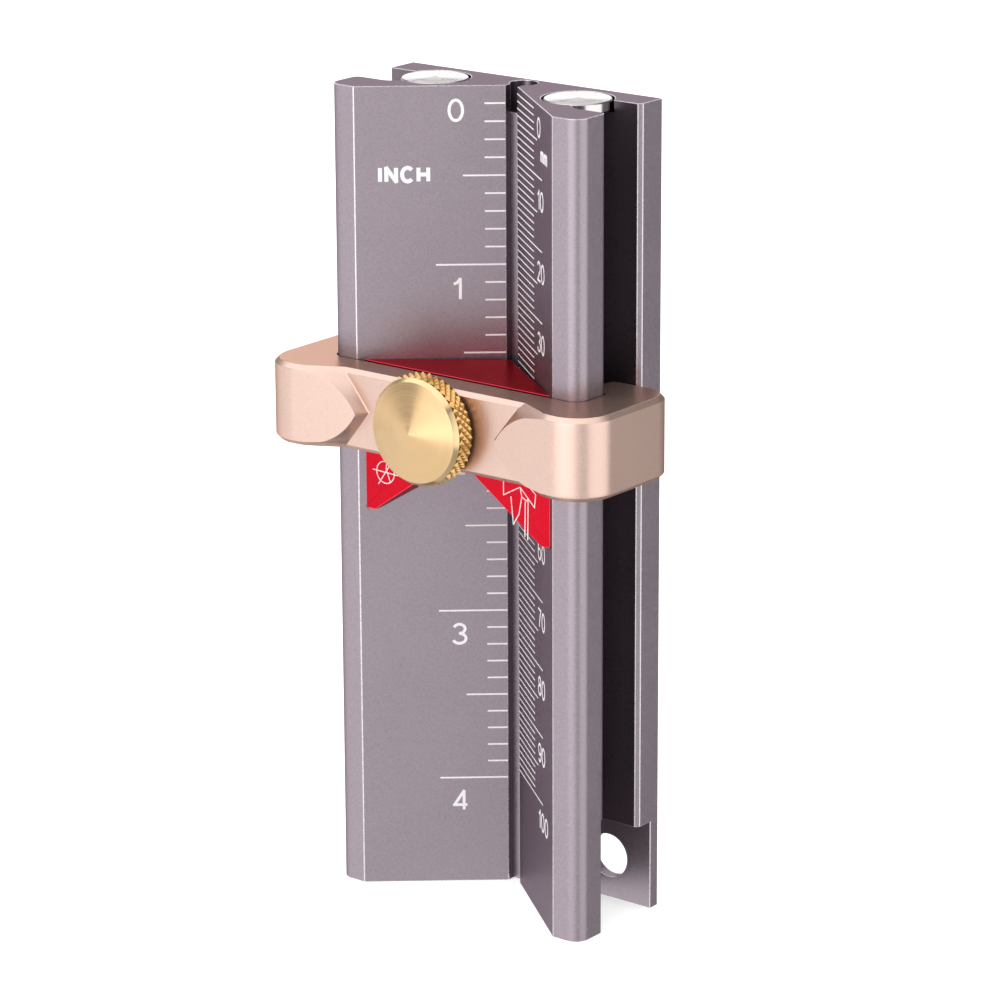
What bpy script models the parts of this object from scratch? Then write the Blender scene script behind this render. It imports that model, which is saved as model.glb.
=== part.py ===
"""Drill depth and angle gauge, as separate pieces that move as the real ones do.

Metres, +Z up. The gauge stands on its lower end with the trough facing -Y, and the
scale's zero is its top end. X is the width, and the middle of the trough is x = 0.
Places along Y are worked out from the front plane of the wings, FRONT_Y.
"""

import math

import bmesh
import bpy
from mathutils import Matrix

# Fits
SEAT_GAP = 0.0003
CUT_OVERRUN = 0.0012
WELD_DISTANCE = 0.0000003

# Gauge body, an extruded bar
BODY_HEIGHT = 0.1176
TROUGH_WIDTH = 0.03448
TROUGH_DEPTH = 0.0134
TROUGH_WALL = 0.00415
SLOT_WIDTH = 0.00204
SLOT_DEPTH = 0.00115
BACK_WEB = 0.0042
WING_WIDTH = 0.00456
WING_DEPTH = 0.00615
WING_FRONT_RADIUS = 0.0021
WING_REAR_RADIUS = 0.001
PLATE_THICKNESS = 0.0049
PLATE_RIGHT_CHAMFER = 0.00055
PLATE_LEFT_CHAMFER = 0.0001
GROOVE_WING_RADIUS = 0.002
GROOVE_ROOT_RADIUS = 0.001

# Magnets and the locating bore in the top end
MAGNET_DIAMETER = 0.0095
MAGNET_THICKNESS = 0.0013
MAGNET_HOOK_GAP = 0.0006
MAGNET_BACK_WALL = 0.0016
APEX_BORE_DIAMETER = 0.0039
APEX_BORE_DEPTH = 0.004
APEX_BORE_BACK_WALL = 0.0006

# Reliefs and hanging holes at the lower end
WING_RELIEF_HEIGHT = 0.017
WING_RELIEF_DEPTH = 0.0009
TAB_HEIGHT = 0.0132
TAB_LENGTH = 0.0128
TAB_THICKNESS = 0.0018
TAB_HOLE_DIAMETER = 0.0065
TAB_HOLE_INSET = 0.00738
TAB_HOLE_HEIGHT = 0.0064

# Slider, a collar that hooks round both wings
SLIDER_READING = 0.03887
SLIDER_HEIGHT = 0.0117
SLIDER_SIDE_WALL = 0.0068
SLIDER_BAR_THICKNESS = 0.00452
SLIDER_BLOCK_STEP = 0.00296
SLIDER_BLOCK_LAND = 0.0023
SLIDER_BLOCK_FACE_ANGLE = math.radians(6)
SLIDER_FRONT_RADIUS = 0.0057
SLIDER_REAR_RADIUS = 0.0042
SLIDER_RIM_CHAMFER = 0.00065
HOOK_TIP_GAP = 0.00186
HOOK_REAR_GAP = 0.00105
HOOK_REAR_RADIUS = 0.0016
HOOK_FRONT_RADIUS = 0.0008
ARROW_KNOB_GAP = 0.00425
RIDGE_SETBACK = 0.00105
RIDGE_SLOPE_SHARE = 0.78

# Wedge that the screw presses into the trough
WEDGE_SETBACK = 0.00085
WEDGE_NOSE_GAP = 0.0008
WEDGE_NOSE_WIDTH = 0.0007
WEDGE_TOP_CHAMFER = 0.0003
NOTCH_ANGLE = math.radians(110)
NOTCH_APEX_DROP = 0.00017
LEG_FOOT_WIDTH = 0.00164
LEG_TIP_CHAMFER = 0.0004
LEG_INNER_RADIUS = 0.0008

# Thumbscrew, turned in one piece, and the pin across its groove
KNOB_DIAMETER = 0.0159
KNOB_GAP = 0.00035
KNURL_WIDTH = 0.0026
KNOB_BACK_CHAMFER = 0.00025
KNOB_FRONT_CHAMFER = 0.0008
KNOB_CONE_HEIGHT = 0.0012
SHANK_DIAMETER = 0.0044
GROOVE_DEPTH = 0.0008
NOSE_LAND = 0.00215
NOSE_CHAMFER = 0.0004
PIN_DIAMETER = 0.0015
PIN_LENGTH = 0.0095
PIN_INSET = 0.0036

# Fineness of round shapes
SHARP_ANGLE = math.radians(30)
ARC_STEPS = 6
SLIDER_LEVELS = 4
TURNED_STEPS = 48
BORE_STEPS = 40
PIN_STEPS = 20

# Places that follow from the sizes
BODY_DEPTH = TROUGH_DEPTH + SLOT_DEPTH + BACK_WEB
BODY_HALF = TROUGH_WIDTH / 2 + WING_WIDTH
BAR_FRONT = SEAT_GAP + SLIDER_BAR_THICKNESS
BLOCK_FRONT = BAR_FRONT + SLIDER_BLOCK_STEP
KNOB_BACK = BAR_FRONT + KNOB_GAP
KNURL_FRONT = KNOB_BACK + KNOB_BACK_CHAMFER + KNURL_WIDTH
KNOB_TIP = KNURL_FRONT + KNOB_FRONT_CHAMFER + KNOB_CONE_HEIGHT
FRONT_Y = (KNOB_TIP - BODY_DEPTH) / 2
BACK_Y = FRONT_Y + BODY_DEPTH
PLATE_FRONT_Y = BACK_Y - PLATE_THICKNESS
TROUGH_FACE_ANGLE = math.atan2((TROUGH_WIDTH - SLOT_WIDTH) / 2, TROUGH_DEPTH)
HOOK_FRONT_Y = FRONT_Y + WING_DEPTH + SEAT_GAP
MAGNET_POCKET_RADIUS = MAGNET_DIAMETER / 2 + SEAT_GAP
MAGNET_Y = BACK_Y - MAGNET_BACK_WALL - MAGNET_POCKET_RADIUS
SLIDER_TOP_Z = BODY_HEIGHT - SLIDER_READING
SLIDER_MID_Z = SLIDER_TOP_Z - SLIDER_HEIGHT / 2
WEDGE_FRONT_Y = FRONT_Y + WEDGE_SETBACK
WEDGE_DEPTH = TROUGH_DEPTH - WEDGE_SETBACK - WEDGE_NOSE_GAP
GROOVE_RADIUS = SHANK_DIAMETER / 2 - GROOVE_DEPTH
PIN_HOLE_RADIUS = PIN_DIAMETER / 2 + SEAT_GAP
NOSE_LENGTH = PIN_INSET + PIN_HOLE_RADIUS + NOSE_LAND
PIN_X = GROOVE_RADIUS + PIN_HOLE_RADIUS
PIN_Y = WEDGE_FRONT_Y + PIN_INSET


def make_collections():
    """Empty the scene and return the collections for the parts and the cutters."""
    for old in list(bpy.data.objects):
        bpy.data.objects.remove(old, do_unlink=True)
    parts = bpy.data.collections.new("drill_depth_gauge")
    cutters = bpy.data.collections.new("cutters")
    bpy.context.scene.collection.children.link(parts)
    bpy.context.scene.collection.children.link(cutters)
    return parts, cutters


def make_material(name, color, roughness, metallic):
    """Return a Principled material."""
    material = bpy.data.materials.new(name)
    material.use_nodes = True
    shader = material.node_tree.nodes["Principled BSDF"]
    shader.inputs["Base Color"].default_value = (*color, 1)
    shader.inputs["Roughness"].default_value = roughness
    shader.inputs["Metallic"].default_value = metallic
    return material


def make_object(name, mesh, collection, location=(0, 0, 0), material=None, parent=None):
    """Wrap a mesh in an object at a world location, kept there when it has a parent."""
    thing = bpy.data.objects.new(name, mesh)
    collection.objects.link(thing)
    thing.location = location
    if material:
        mesh.materials.append(material)
    if parent:
        thing.parent = parent
        thing.matrix_parent_inverse = parent.matrix_world.inverted()
    return thing


def make_axis(name, location, collection, parent=None):
    """Place an empty on a joint's axis."""
    axis = make_object(name, None, collection, location, parent=parent)
    axis.empty_display_size = SLIDER_HEIGHT
    bpy.context.view_layer.update()
    return axis


def arc_points(center, radius, start, end):
    """Points along an arc, with the angles in degrees."""
    points = []
    for i in range(ARC_STEPS + 1):
        angle = math.radians(start + (end - start) * i / ARC_STEPS)
        x = center[0] + radius * math.cos(angle)
        y = center[1] + radius * math.sin(angle)
        points.append((x, y))
    return points


def headings(outline, i):
    """The heading into a corner of a closed outline, and how far it turns there."""
    x, y = outline[i][:2]
    before, after = outline[i - 1], outline[(i + 1) % len(outline)]
    heading_in = math.atan2(y - before[1], x - before[0])
    heading_out = math.atan2(after[1] - y, after[0] - x)
    return heading_in, (heading_out - heading_in + math.pi) % math.tau - math.pi


def rounded_outline(corners):
    """Round the corners (x, y, radius) of a closed outline and return its points."""
    points = []
    for i, (x, y, radius) in enumerate(corners):
        if not radius:
            points.append((x, y))
            continue
        heading, turn = headings(corners, i)
        side = math.copysign(1, turn)
        setback = radius * math.tan(abs(turn) / 2)
        center_x = x - setback * math.cos(heading) - side * radius * math.sin(heading)
        center_y = y - setback * math.sin(heading) + side * radius * math.cos(heading)
        start = math.degrees(heading) - side * 90
        points += arc_points((center_x, center_y), radius, start, start + math.degrees(turn))
    return points


def drawn_in(outline, insets):
    """Move each point of a closed outline inwards by its inset, square to its sides."""
    points = []
    for i, (x, y) in enumerate(outline):
        heading, turn = headings(outline, i)
        square = heading + turn / 2 + math.pi / 2
        reach = insets[i] / math.cos(turn / 2)
        points.append((x + reach * math.cos(square), y + reach * math.sin(square)))
    return points


def mirrored(right_half):
    """Close an outline whose right half runs from its front to its back."""
    return right_half + [(-point[0], *point[1:]) for point in reversed(right_half)]


def weld(mesh):
    """Join the doubled points of a mesh and turn its faces outwards."""
    bm = bmesh.new()
    bm.from_mesh(mesh)
    bmesh.ops.remove_doubles(bm, verts=bm.verts, dist=WELD_DISTANCE)
    bmesh.ops.recalc_face_normals(bm, faces=bm.faces)
    bm.to_mesh(mesh)
    bm.free()


def extruded_mesh(name, outline, length):
    """Extrude a flat outline evenly about its plane, as a welded mesh."""
    curve = bpy.data.curves.new(name, "CURVE")
    curve.dimensions = "2D"
    curve.fill_mode = "BOTH"
    curve.extrude = length / 2
    spline = curve.splines.new("POLY")
    spline.points.add(len(outline) - 1)
    for point, (x, y) in zip(spline.points, outline):
        point.co = (x, y, 0, 1)
    spline.use_cyclic_u = True
    guide = bpy.data.objects.new(name, curve)
    bpy.context.scene.collection.objects.link(guide)
    depsgraph = bpy.context.evaluated_depsgraph_get()
    mesh = bpy.data.meshes.new_from_object(guide.evaluated_get(depsgraph))
    bpy.data.objects.remove(guide, do_unlink=True)
    weld(mesh)
    return mesh


def cylinder_mesh(name, radius, length, steps=BORE_STEPS):
    """Return a capped cylinder along Z, centred on the origin."""
    mesh = bpy.data.meshes.new(name)
    bm = bmesh.new()
    bmesh.ops.create_cone(
        bm, cap_ends=True, segments=steps, radius1=radius, radius2=radius, depth=length
    )
    bm.to_mesh(mesh)
    bm.free()
    return mesh


def box_mesh(name, size):
    """Return a box centred on the origin."""
    mesh = bpy.data.meshes.new(name)
    bm = bmesh.new()
    bmesh.ops.create_cube(bm, size=1)
    bmesh.ops.scale(bm, vec=size, verts=bm.verts)
    bm.to_mesh(mesh)
    bm.free()
    return mesh


def loft_mesh(name, sections):
    """Skin closed sections of equal point counts, from the lowest to the highest."""
    mesh = bpy.data.meshes.new(name)
    bm = bmesh.new()
    rings = [[bm.verts.new(point) for point in section] for section in sections]
    for lower, upper in zip(rings, rings[1:]):
        for i in range(len(lower)):
            j = (i + 1) % len(lower)
            bm.faces.new((lower[i], lower[j], upper[j]))
            bm.faces.new((lower[i], upper[j], upper[i]))
    bm.faces.new(reversed(rings[0]))
    bm.faces.new(rings[-1])
    bm.to_mesh(mesh)
    bm.free()
    return mesh


def cut(target, mesh, cutters, location, facing_y=False, operation="DIFFERENCE"):
    """Cut a mesh out of a target, or keep what both share, with a named cutter."""
    cutter = make_object(mesh.name, mesh, cutters, location)
    if facing_y:
        cutter.rotation_euler = (math.radians(90), 0, 0)
    cutter.hide_render = True
    cutter.display_type = "WIRE"
    boolean = target.modifiers.new(mesh.name, "BOOLEAN")
    boolean.operation = operation
    boolean.object = cutter


def cut_box(target, name, cutters, low, high):
    """Cut out the box between two corners."""
    size = [abs(b - a) for a, b in zip(low, high)]
    middle = [(a + b) / 2 for a, b in zip(low, high)]
    cut(target, box_mesh(name, size), cutters, middle)


def smooth_rounds(thing):
    """Shade round faces smooth and keep the edges between faces sharp."""
    thing.data.shade_smooth()
    thing.data.set_sharp_from_angle(angle=SHARP_ANGLE)


def wall_back_x(y):
    """Where the back of the trough's wall is at a given y."""
    depth_left = FRONT_Y + TROUGH_DEPTH - y
    offset = TROUGH_WALL / math.cos(TROUGH_FACE_ANGLE)
    return SLOT_WIDTH / 2 + offset + depth_left * math.tan(TROUGH_FACE_ANGLE)


def hook_tip_x():
    """How near the middle a hook's tip comes."""
    return wall_back_x(HOOK_FRONT_Y) + HOOK_TIP_GAP


def magnet_x(side):
    """A magnet's place across the bar, clear of the hooks as they slide past."""
    return side * (hook_tip_x() - MAGNET_HOOK_GAP - MAGNET_DIAMETER / 2)


def body_half(side, plate_chamfer):
    """Corners (x, y, radius) of one half of the bar's section, from trough to back."""
    slot_x = SLOT_WIDTH / 2
    wing_back_y = FRONT_Y + WING_DEPTH
    corners = [
        (slot_x, FRONT_Y + TROUGH_DEPTH + SLOT_DEPTH, 0),
        (slot_x, FRONT_Y + TROUGH_DEPTH, 0),
        (TROUGH_WIDTH / 2, FRONT_Y, 0),
        (BODY_HALF, FRONT_Y, WING_FRONT_RADIUS),
        (BODY_HALF, wing_back_y, WING_REAR_RADIUS),
        (wall_back_x(wing_back_y), wing_back_y, GROOVE_WING_RADIUS),
        (wall_back_x(PLATE_FRONT_Y), PLATE_FRONT_Y, GROOVE_ROOT_RADIUS),
        (BODY_HALF - plate_chamfer, PLATE_FRONT_Y, 0),
        (BODY_HALF, PLATE_FRONT_Y + plate_chamfer, 0),
        (BODY_HALF, BACK_Y, 0),
    ]
    return [(side * x, y, radius) for x, y, radius in corners]


def make_gauge_body(parts, cutters, material):
    """The trough bar with its end pockets, locating bore, reliefs and hanging holes."""
    outline = body_half(1, PLATE_RIGHT_CHAMFER) + body_half(-1, PLATE_LEFT_CHAMFER)[::-1]
    mesh = extruded_mesh("gauge_body", rounded_outline(outline), BODY_HEIGHT)
    mesh.transform(Matrix.Translation((0, 0, BODY_HEIGHT / 2)))
    body = make_object("gauge_body", mesh, parts, material=material)
    smooth_rounds(body)
    apex_bore = cylinder_mesh("apex_bore", APEX_BORE_DIAMETER / 2, APEX_BORE_DEPTH + CUT_OVERRUN)
    apex_bore_y = BACK_Y - APEX_BORE_BACK_WALL - APEX_BORE_DIAMETER / 2
    apex_bore_z = BODY_HEIGHT + (CUT_OVERRUN - APEX_BORE_DEPTH) / 2
    cut(body, apex_bore, cutters, (0, apex_bore_y, apex_bore_z))
    for side, word in ((-1, "left"), (1, "right")):
        cut_magnet_pocket(body, cutters, side, word)
        cut_lower_end(body, cutters, side, word)


def cut_magnet_pocket(body, cutters, side, word):
    """Sink a magnet's pocket into the top end."""
    depth = MAGNET_THICKNESS + SEAT_GAP
    pocket = cylinder_mesh("magnet_pocket_" + word, MAGNET_POCKET_RADIUS, depth + CUT_OVERRUN)
    pocket_z = BODY_HEIGHT + (CUT_OVERRUN - depth) / 2
    cut(body, pocket, cutters, (magnet_x(side), MAGNET_Y, pocket_z))


def cut_lower_end(body, cutters, side, word):
    """Thin one side of the plate to a tab, relieve its wing, and drill the tab."""
    outer_x = side * (BODY_HALF + CUT_OVERRUN)
    cut_box(
        body,
        "tab_relief_" + word,
        cutters,
        (side * (BODY_HALF - TAB_LENGTH), PLATE_FRONT_Y - CUT_OVERRUN, -CUT_OVERRUN),
        (outer_x, BACK_Y - TAB_THICKNESS, TAB_HEIGHT),
    )
    wing_back_y = FRONT_Y + WING_DEPTH
    cut_box(
        body,
        "wing_relief_" + word,
        cutters,
        (side * TROUGH_WIDTH / 2, wing_back_y - WING_RELIEF_DEPTH, -CUT_OVERRUN),
        (outer_x, wing_back_y + CUT_OVERRUN, WING_RELIEF_HEIGHT),
    )
    hole = cylinder_mesh("tab_hole_" + word, TAB_HOLE_DIAMETER / 2, TAB_THICKNESS + 2 * CUT_OVERRUN)
    hole_x = side * (BODY_HALF - TAB_HOLE_INSET)
    cut(body, hole, cutters, (hole_x, BACK_Y - TAB_THICKNESS / 2, TAB_HOLE_HEIGHT), True)


def make_magnets(parts, material):
    """The two discs that sit flush in the top end."""
    for side, word in ((-1, "left"), (1, "right")):
        name = "end_magnet_" + word
        mesh = cylinder_mesh(name, MAGNET_DIAMETER / 2, MAGNET_THICKNESS)
        place = (magnet_x(side), MAGNET_Y, BODY_HEIGHT - MAGNET_THICKNESS / 2)
        smooth_rounds(make_object(name, mesh, parts, place, material))


def slider_half():
    """Half the slider's width."""
    return BODY_HALF + SEAT_GAP + SLIDER_SIDE_WALL


def flank_points(height):
    """The right flank of the slider's recess at a height above its middle.

    The flank is ruled straight from the ridge, a slanting line on the bar, to the arrow's
    arc on the end block's face, which slopes back towards the knob.
    """
    flat_half = SLIDER_HEIGHT / 2 - SLIDER_RIM_CHAMFER
    level = min(abs(height), flat_half)
    tip_x = KNOB_DIAMETER / 2 + ARROW_KNOB_GAP
    face_x = slider_half() - SLIDER_FRONT_RADIUS
    rim_x = face_x - SLIDER_BLOCK_LAND
    radius = ((rim_x - tip_x) ** 2 + flat_half**2) / (2 * flat_half)
    arrow_x = rim_x - math.sqrt(radius**2 - (radius - flat_half + level) ** 2)
    arrow_y = FRONT_Y - BLOCK_FRONT + (face_x - arrow_x) * math.tan(SLIDER_BLOCK_FACE_ANGLE)
    ridge_x = tip_x - RIDGE_SETBACK + RIDGE_SLOPE_SHARE * abs(height)
    return [(ridge_x, FRONT_Y - BAR_FRONT), (arrow_x, arrow_y)]


def slider_section(height, inset):
    """The slider's outline at a height above its middle, drawn in at its outer rim."""
    inner_x, outer_x, hook_x = BODY_HALF + SEAT_GAP, slider_half(), hook_tip_x()
    hook_back_y = PLATE_FRONT_Y - HOOK_REAR_GAP
    corner_radius = WING_FRONT_RADIUS + SEAT_GAP
    throat_radius = WING_REAR_RADIUS + SEAT_GAP

    face_turn = math.degrees(SLIDER_BLOCK_FACE_ANGLE)
    outer = flank_points(height)
    center = (outer_x - SLIDER_FRONT_RADIUS, FRONT_Y - BLOCK_FRONT + SLIDER_FRONT_RADIUS)
    outer += arc_points(center, SLIDER_FRONT_RADIUS, -90 - face_turn, 0)
    center = (outer_x - SLIDER_REAR_RADIUS, hook_back_y - SLIDER_REAR_RADIUS)
    outer += arc_points(center, SLIDER_REAR_RADIUS, 0, 90)
    center = (hook_x + HOOK_REAR_RADIUS, hook_back_y - HOOK_REAR_RADIUS)
    outer += arc_points(center, HOOK_REAR_RADIUS, 90, 180)

    center = (hook_x + HOOK_FRONT_RADIUS, HOOK_FRONT_Y + HOOK_FRONT_RADIUS)
    inner = arc_points(center, HOOK_FRONT_RADIUS, 180, 270)
    center = (inner_x - throat_radius, HOOK_FRONT_Y - throat_radius)
    inner += arc_points(center, throat_radius, 90, 0)
    center = (inner_x - corner_radius, FRONT_Y - SEAT_GAP + corner_radius)
    inner += arc_points(center, corner_radius, 0, -90)

    insets = [inset] * len(outer) + [0] * len(inner)
    return drawn_in(mirrored(outer + inner), insets + insets[::-1])


def make_slider(parts, cutters, material, parent):
    """The collar: end blocks with arrow flanks, a thinner bar and a hook on each side."""
    flat_half = SLIDER_HEIGHT / 2 - SLIDER_RIM_CHAMFER
    levels = [(-SLIDER_HEIGHT / 2, SLIDER_RIM_CHAMFER)]
    for i in range(-SLIDER_LEVELS, SLIDER_LEVELS + 1):
        levels.append((flat_half * i / SLIDER_LEVELS, 0))
    levels.append((SLIDER_HEIGHT / 2, SLIDER_RIM_CHAMFER))
    sections = []
    for height, inset in levels:
        sections.append([(x, y, SLIDER_MID_Z + height) for x, y in slider_section(height, inset)])
    mesh = loft_mesh("slider_collar", sections)
    slider = make_object("slider_collar", mesh, parts, material=material, parent=parent)
    smooth_rounds(slider)
    length = SLIDER_BAR_THICKNESS + 2 * CUT_OVERRUN
    bore = cylinder_mesh("screw_bore", SHANK_DIAMETER / 2 + SEAT_GAP, length)
    bore_y = FRONT_Y - (BAR_FRONT + SEAT_GAP) / 2
    cut(slider, bore, cutters, (0, bore_y, SLIDER_MID_Z), True)


def chamfer_top_front(wedge, top):
    """Bevel the wedge's top front edge."""
    mesh = wedge.data
    front_y = min(vertex.co.y for vertex in mesh.vertices)
    weights = mesh.attributes.new("bevel_weight_edge", "FLOAT", "EDGE")
    for edge in mesh.edges:
        ends = [mesh.vertices[i].co for i in edge.vertices]
        at_top = all(abs(end.z - top) < WELD_DISTANCE for end in ends)
        at_front = all(abs(end.y - front_y) < WELD_DISTANCE for end in ends)
        weights.data[edge.index].value = at_top and at_front
    bevel = wedge.modifiers.new("top_chamfer", "BEVEL")
    bevel.limit_method = "WEIGHT"
    bevel.width = WEDGE_TOP_CHAMFER
    bevel.segments = 1


def make_wedge(parts, cutters, material, parent):
    """The prism that fills the trough: two legs with a point-angle notch between them.

    The notch's apex lies just under the slider's lower face.
    """
    trough_half = TROUGH_WIDTH / 2 - WEDGE_SETBACK * math.tan(TROUGH_FACE_ANGLE)
    front_half = trough_half - SEAT_GAP / math.cos(TROUGH_FACE_ANGLE)
    nose_y = WEDGE_FRONT_Y + WEDGE_DEPTH
    notch_half = front_half - LEG_FOOT_WIDTH
    apex_depth = SLIDER_HEIGHT + NOTCH_APEX_DROP
    height = apex_depth + notch_half / math.tan(NOTCH_ANGLE / 2)

    length = height + CUT_OVERRUN
    outline = mirrored([(front_half, WEDGE_FRONT_Y), (WEDGE_NOSE_WIDTH / 2, nose_y)])
    mesh = extruded_mesh("point_gauge_wedge", outline, length)
    mesh.transform(Matrix.Translation((0, 0, SLIDER_TOP_Z - length / 2)))
    wedge = make_object("point_gauge_wedge", mesh, parts, material=material, parent=parent)
    chamfer_top_front(wedge, SLIDER_TOP_Z)

    corners = [
        (notch_half, -height, LEG_INNER_RADIUS),
        (front_half - LEG_TIP_CHAMFER, -height, 0),
        (front_half + CUT_OVERRUN, -height + LEG_TIP_CHAMFER + CUT_OVERRUN, 0),
        (front_half + CUT_OVERRUN, CUT_OVERRUN, 0),
    ]
    outline = rounded_outline([(0, -apex_depth, 0)] + mirrored(corners))
    front = extruded_mesh("wedge_front_shape", outline, WEDGE_DEPTH + 2 * CUT_OVERRUN)
    middle_y = WEDGE_FRONT_Y + WEDGE_DEPTH / 2
    cut(wedge, front, cutters, (0, middle_y, SLIDER_TOP_Z), True, "INTERSECT")

    depth = NOSE_LENGTH + SEAT_GAP
    screw_hole = cylinder_mesh("screw_hole", SHANK_DIAMETER / 2 + SEAT_GAP, depth + CUT_OVERRUN)
    hole_y = WEDGE_FRONT_Y + (depth - CUT_OVERRUN) / 2
    cut(wedge, screw_hole, cutters, (0, hole_y, SLIDER_MID_Z), True)

    pin_hole_top = SLIDER_MID_Z + PIN_LENGTH / 2 + SEAT_GAP
    depth = pin_hole_top - SLIDER_TOP_Z + height + CUT_OVERRUN
    pin_hole = cylinder_mesh("pin_hole", PIN_HOLE_RADIUS, depth, PIN_STEPS)
    cut(wedge, pin_hole, cutters, (PIN_X, PIN_Y, pin_hole_top - depth / 2))


def make_pin(parts, material, parent):
    """The pin that crosses the screw's groove and keeps the wedge on it."""
    name = "wedge_retaining_pin"
    mesh = cylinder_mesh(name, PIN_DIAMETER / 2, PIN_LENGTH, PIN_STEPS)
    place = (PIN_X, PIN_Y, SLIDER_MID_Z)
    smooth_rounds(make_object(name, mesh, parts, place, material, parent))


def make_thumbscrew(parts, material, parent):
    """The brass screw: knob, shank through the bar, and a grooved nose in the wedge."""
    knob_radius = KNOB_DIAMETER / 2
    shank_radius = SHANK_DIAMETER / 2
    groove_middle = -WEDGE_SETBACK - PIN_INSET
    nose_end = -WEDGE_SETBACK - NOSE_LENGTH
    profile = [
        (0, KNOB_TIP),
        (knob_radius - KNOB_FRONT_CHAMFER, KNURL_FRONT + KNOB_FRONT_CHAMFER),
        (knob_radius, KNURL_FRONT),
        (knob_radius, KNOB_BACK + KNOB_BACK_CHAMFER),
        (knob_radius - KNOB_BACK_CHAMFER, KNOB_BACK),
        (shank_radius, KNOB_BACK),
        (shank_radius, groove_middle + PIN_HOLE_RADIUS),
        (GROOVE_RADIUS, groove_middle + PIN_HOLE_RADIUS),
        (GROOVE_RADIUS, groove_middle - PIN_HOLE_RADIUS),
        (shank_radius, groove_middle - PIN_HOLE_RADIUS),
        (shank_radius, nose_end + NOSE_CHAMFER),
        (shank_radius - NOSE_CHAMFER, nose_end),
        (0, nose_end),
    ]
    mesh = bpy.data.meshes.new("thumbscrew")
    edges = [(i, i + 1) for i in range(len(profile) - 1)]
    mesh.from_pydata([(radius, 0, height) for radius, height in profile], edges, [])
    place = (0, FRONT_Y, SLIDER_MID_Z)
    thumbscrew = make_object("thumbscrew", mesh, parts, place, material, parent)
    thumbscrew.rotation_euler = (math.radians(90), 0, 0)
    screw = thumbscrew.modifiers.new("turned", "SCREW")
    screw.steps = TURNED_STEPS
    screw.render_steps = TURNED_STEPS
    screw.use_merge_vertices = True
    screw.merge_threshold = WELD_DISTANCE
    screw.use_smooth_shade = True


def main():
    """Build every piece and the empties that carry the moving ones."""
    parts, cutters = make_collections()
    grey = make_material("grey_anodised", (0.29, 0.25, 0.28), 0.38, 1)
    champagne = make_material("champagne_anodised", (0.80, 0.60, 0.50), 0.34, 1)
    red = make_material("red_anodised", (0.62, 0.02, 0.04), 0.40, 0.6)
    brass = make_material("turned_brass", (0.78, 0.56, 0.22), 0.24, 1)
    nickel = make_material("nickel_plate", (0.80, 0.80, 0.80), 0.18, 1)
    steel = make_material("pin_steel", (0.50, 0.50, 0.52), 0.30, 1)

    make_gauge_body(parts, cutters, grey)
    make_magnets(parts, nickel)
    slide_axis = make_axis("depth_slide_axis", (0, FRONT_Y, SLIDER_MID_Z), parts)
    make_slider(parts, cutters, champagne, slide_axis)
    press_axis = make_axis("wedge_press_axis", (0, WEDGE_FRONT_Y, SLIDER_MID_Z), parts, slide_axis)
    make_wedge(parts, cutters, red, press_axis)
    make_pin(parts, steel, press_axis)
    make_thumbscrew(parts, brass, press_axis)


main()
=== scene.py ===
"""Looks of the drill depth and angle gauge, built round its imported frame.

Metres, +Z up. The gauge stands on its lower end with the trough facing -Y. A section of
the bar or the collar is drawn in x and y, with y counted from the wings' front plane.
"""

import logging
import math
from dataclasses import dataclass
from enum import Enum
from typing import Any

import bmesh
import bpy
from mathutils import Matrix, Quaternion, Vector


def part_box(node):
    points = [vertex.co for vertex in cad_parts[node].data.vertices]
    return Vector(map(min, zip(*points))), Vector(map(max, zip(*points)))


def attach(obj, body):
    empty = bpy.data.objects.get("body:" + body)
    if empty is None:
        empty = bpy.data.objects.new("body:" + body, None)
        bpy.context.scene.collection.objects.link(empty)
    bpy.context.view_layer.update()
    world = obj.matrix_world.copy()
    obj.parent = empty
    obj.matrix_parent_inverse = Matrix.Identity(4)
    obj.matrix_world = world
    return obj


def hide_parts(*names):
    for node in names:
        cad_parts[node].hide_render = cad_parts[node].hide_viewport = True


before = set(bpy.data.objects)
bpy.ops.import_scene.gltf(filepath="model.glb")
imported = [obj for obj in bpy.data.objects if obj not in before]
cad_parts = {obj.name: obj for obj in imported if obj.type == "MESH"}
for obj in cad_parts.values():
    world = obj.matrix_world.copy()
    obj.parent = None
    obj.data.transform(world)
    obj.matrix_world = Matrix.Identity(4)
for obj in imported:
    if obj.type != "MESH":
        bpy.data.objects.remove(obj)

log = logging.getLogger("drill_gauge")

MM = 0.001
INCH = 25.4 * MM
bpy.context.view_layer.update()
FRONT_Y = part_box("gauge_body")[0].y
TOP_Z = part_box("gauge_body")[1].z
COLLAR_TOP_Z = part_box("slider_collar")[1].z
COLLAR_MID_Z = (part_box("slider_collar")[0].z + COLLAR_TOP_Z) / 2
FACING_FRONT = Matrix.Translation((0, FRONT_Y, 0)) @ Matrix.Rotation(math.radians(90), 4, "X")

MERGE_DISTANCE = 0.005 * MM
RELIEF = 0.02 * MM
EDGE_STRIPS = 2

Point = tuple[float, ...]


class Side(Enum):
    """The two sides of the gauge, as seen from the front."""

    LEFT = -1
    RIGHT = 1

    @property
    def word(self) -> str:
        """The side's name in lower case."""
        return self.name.lower()


class Axis(Enum):
    """The axis that a turned finish runs round."""

    ALONG_Y = (1, 0, 1)
    ALONG_Z = (1, 1, 0)


# ---------------------------------------------------------------- node trees


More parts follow.
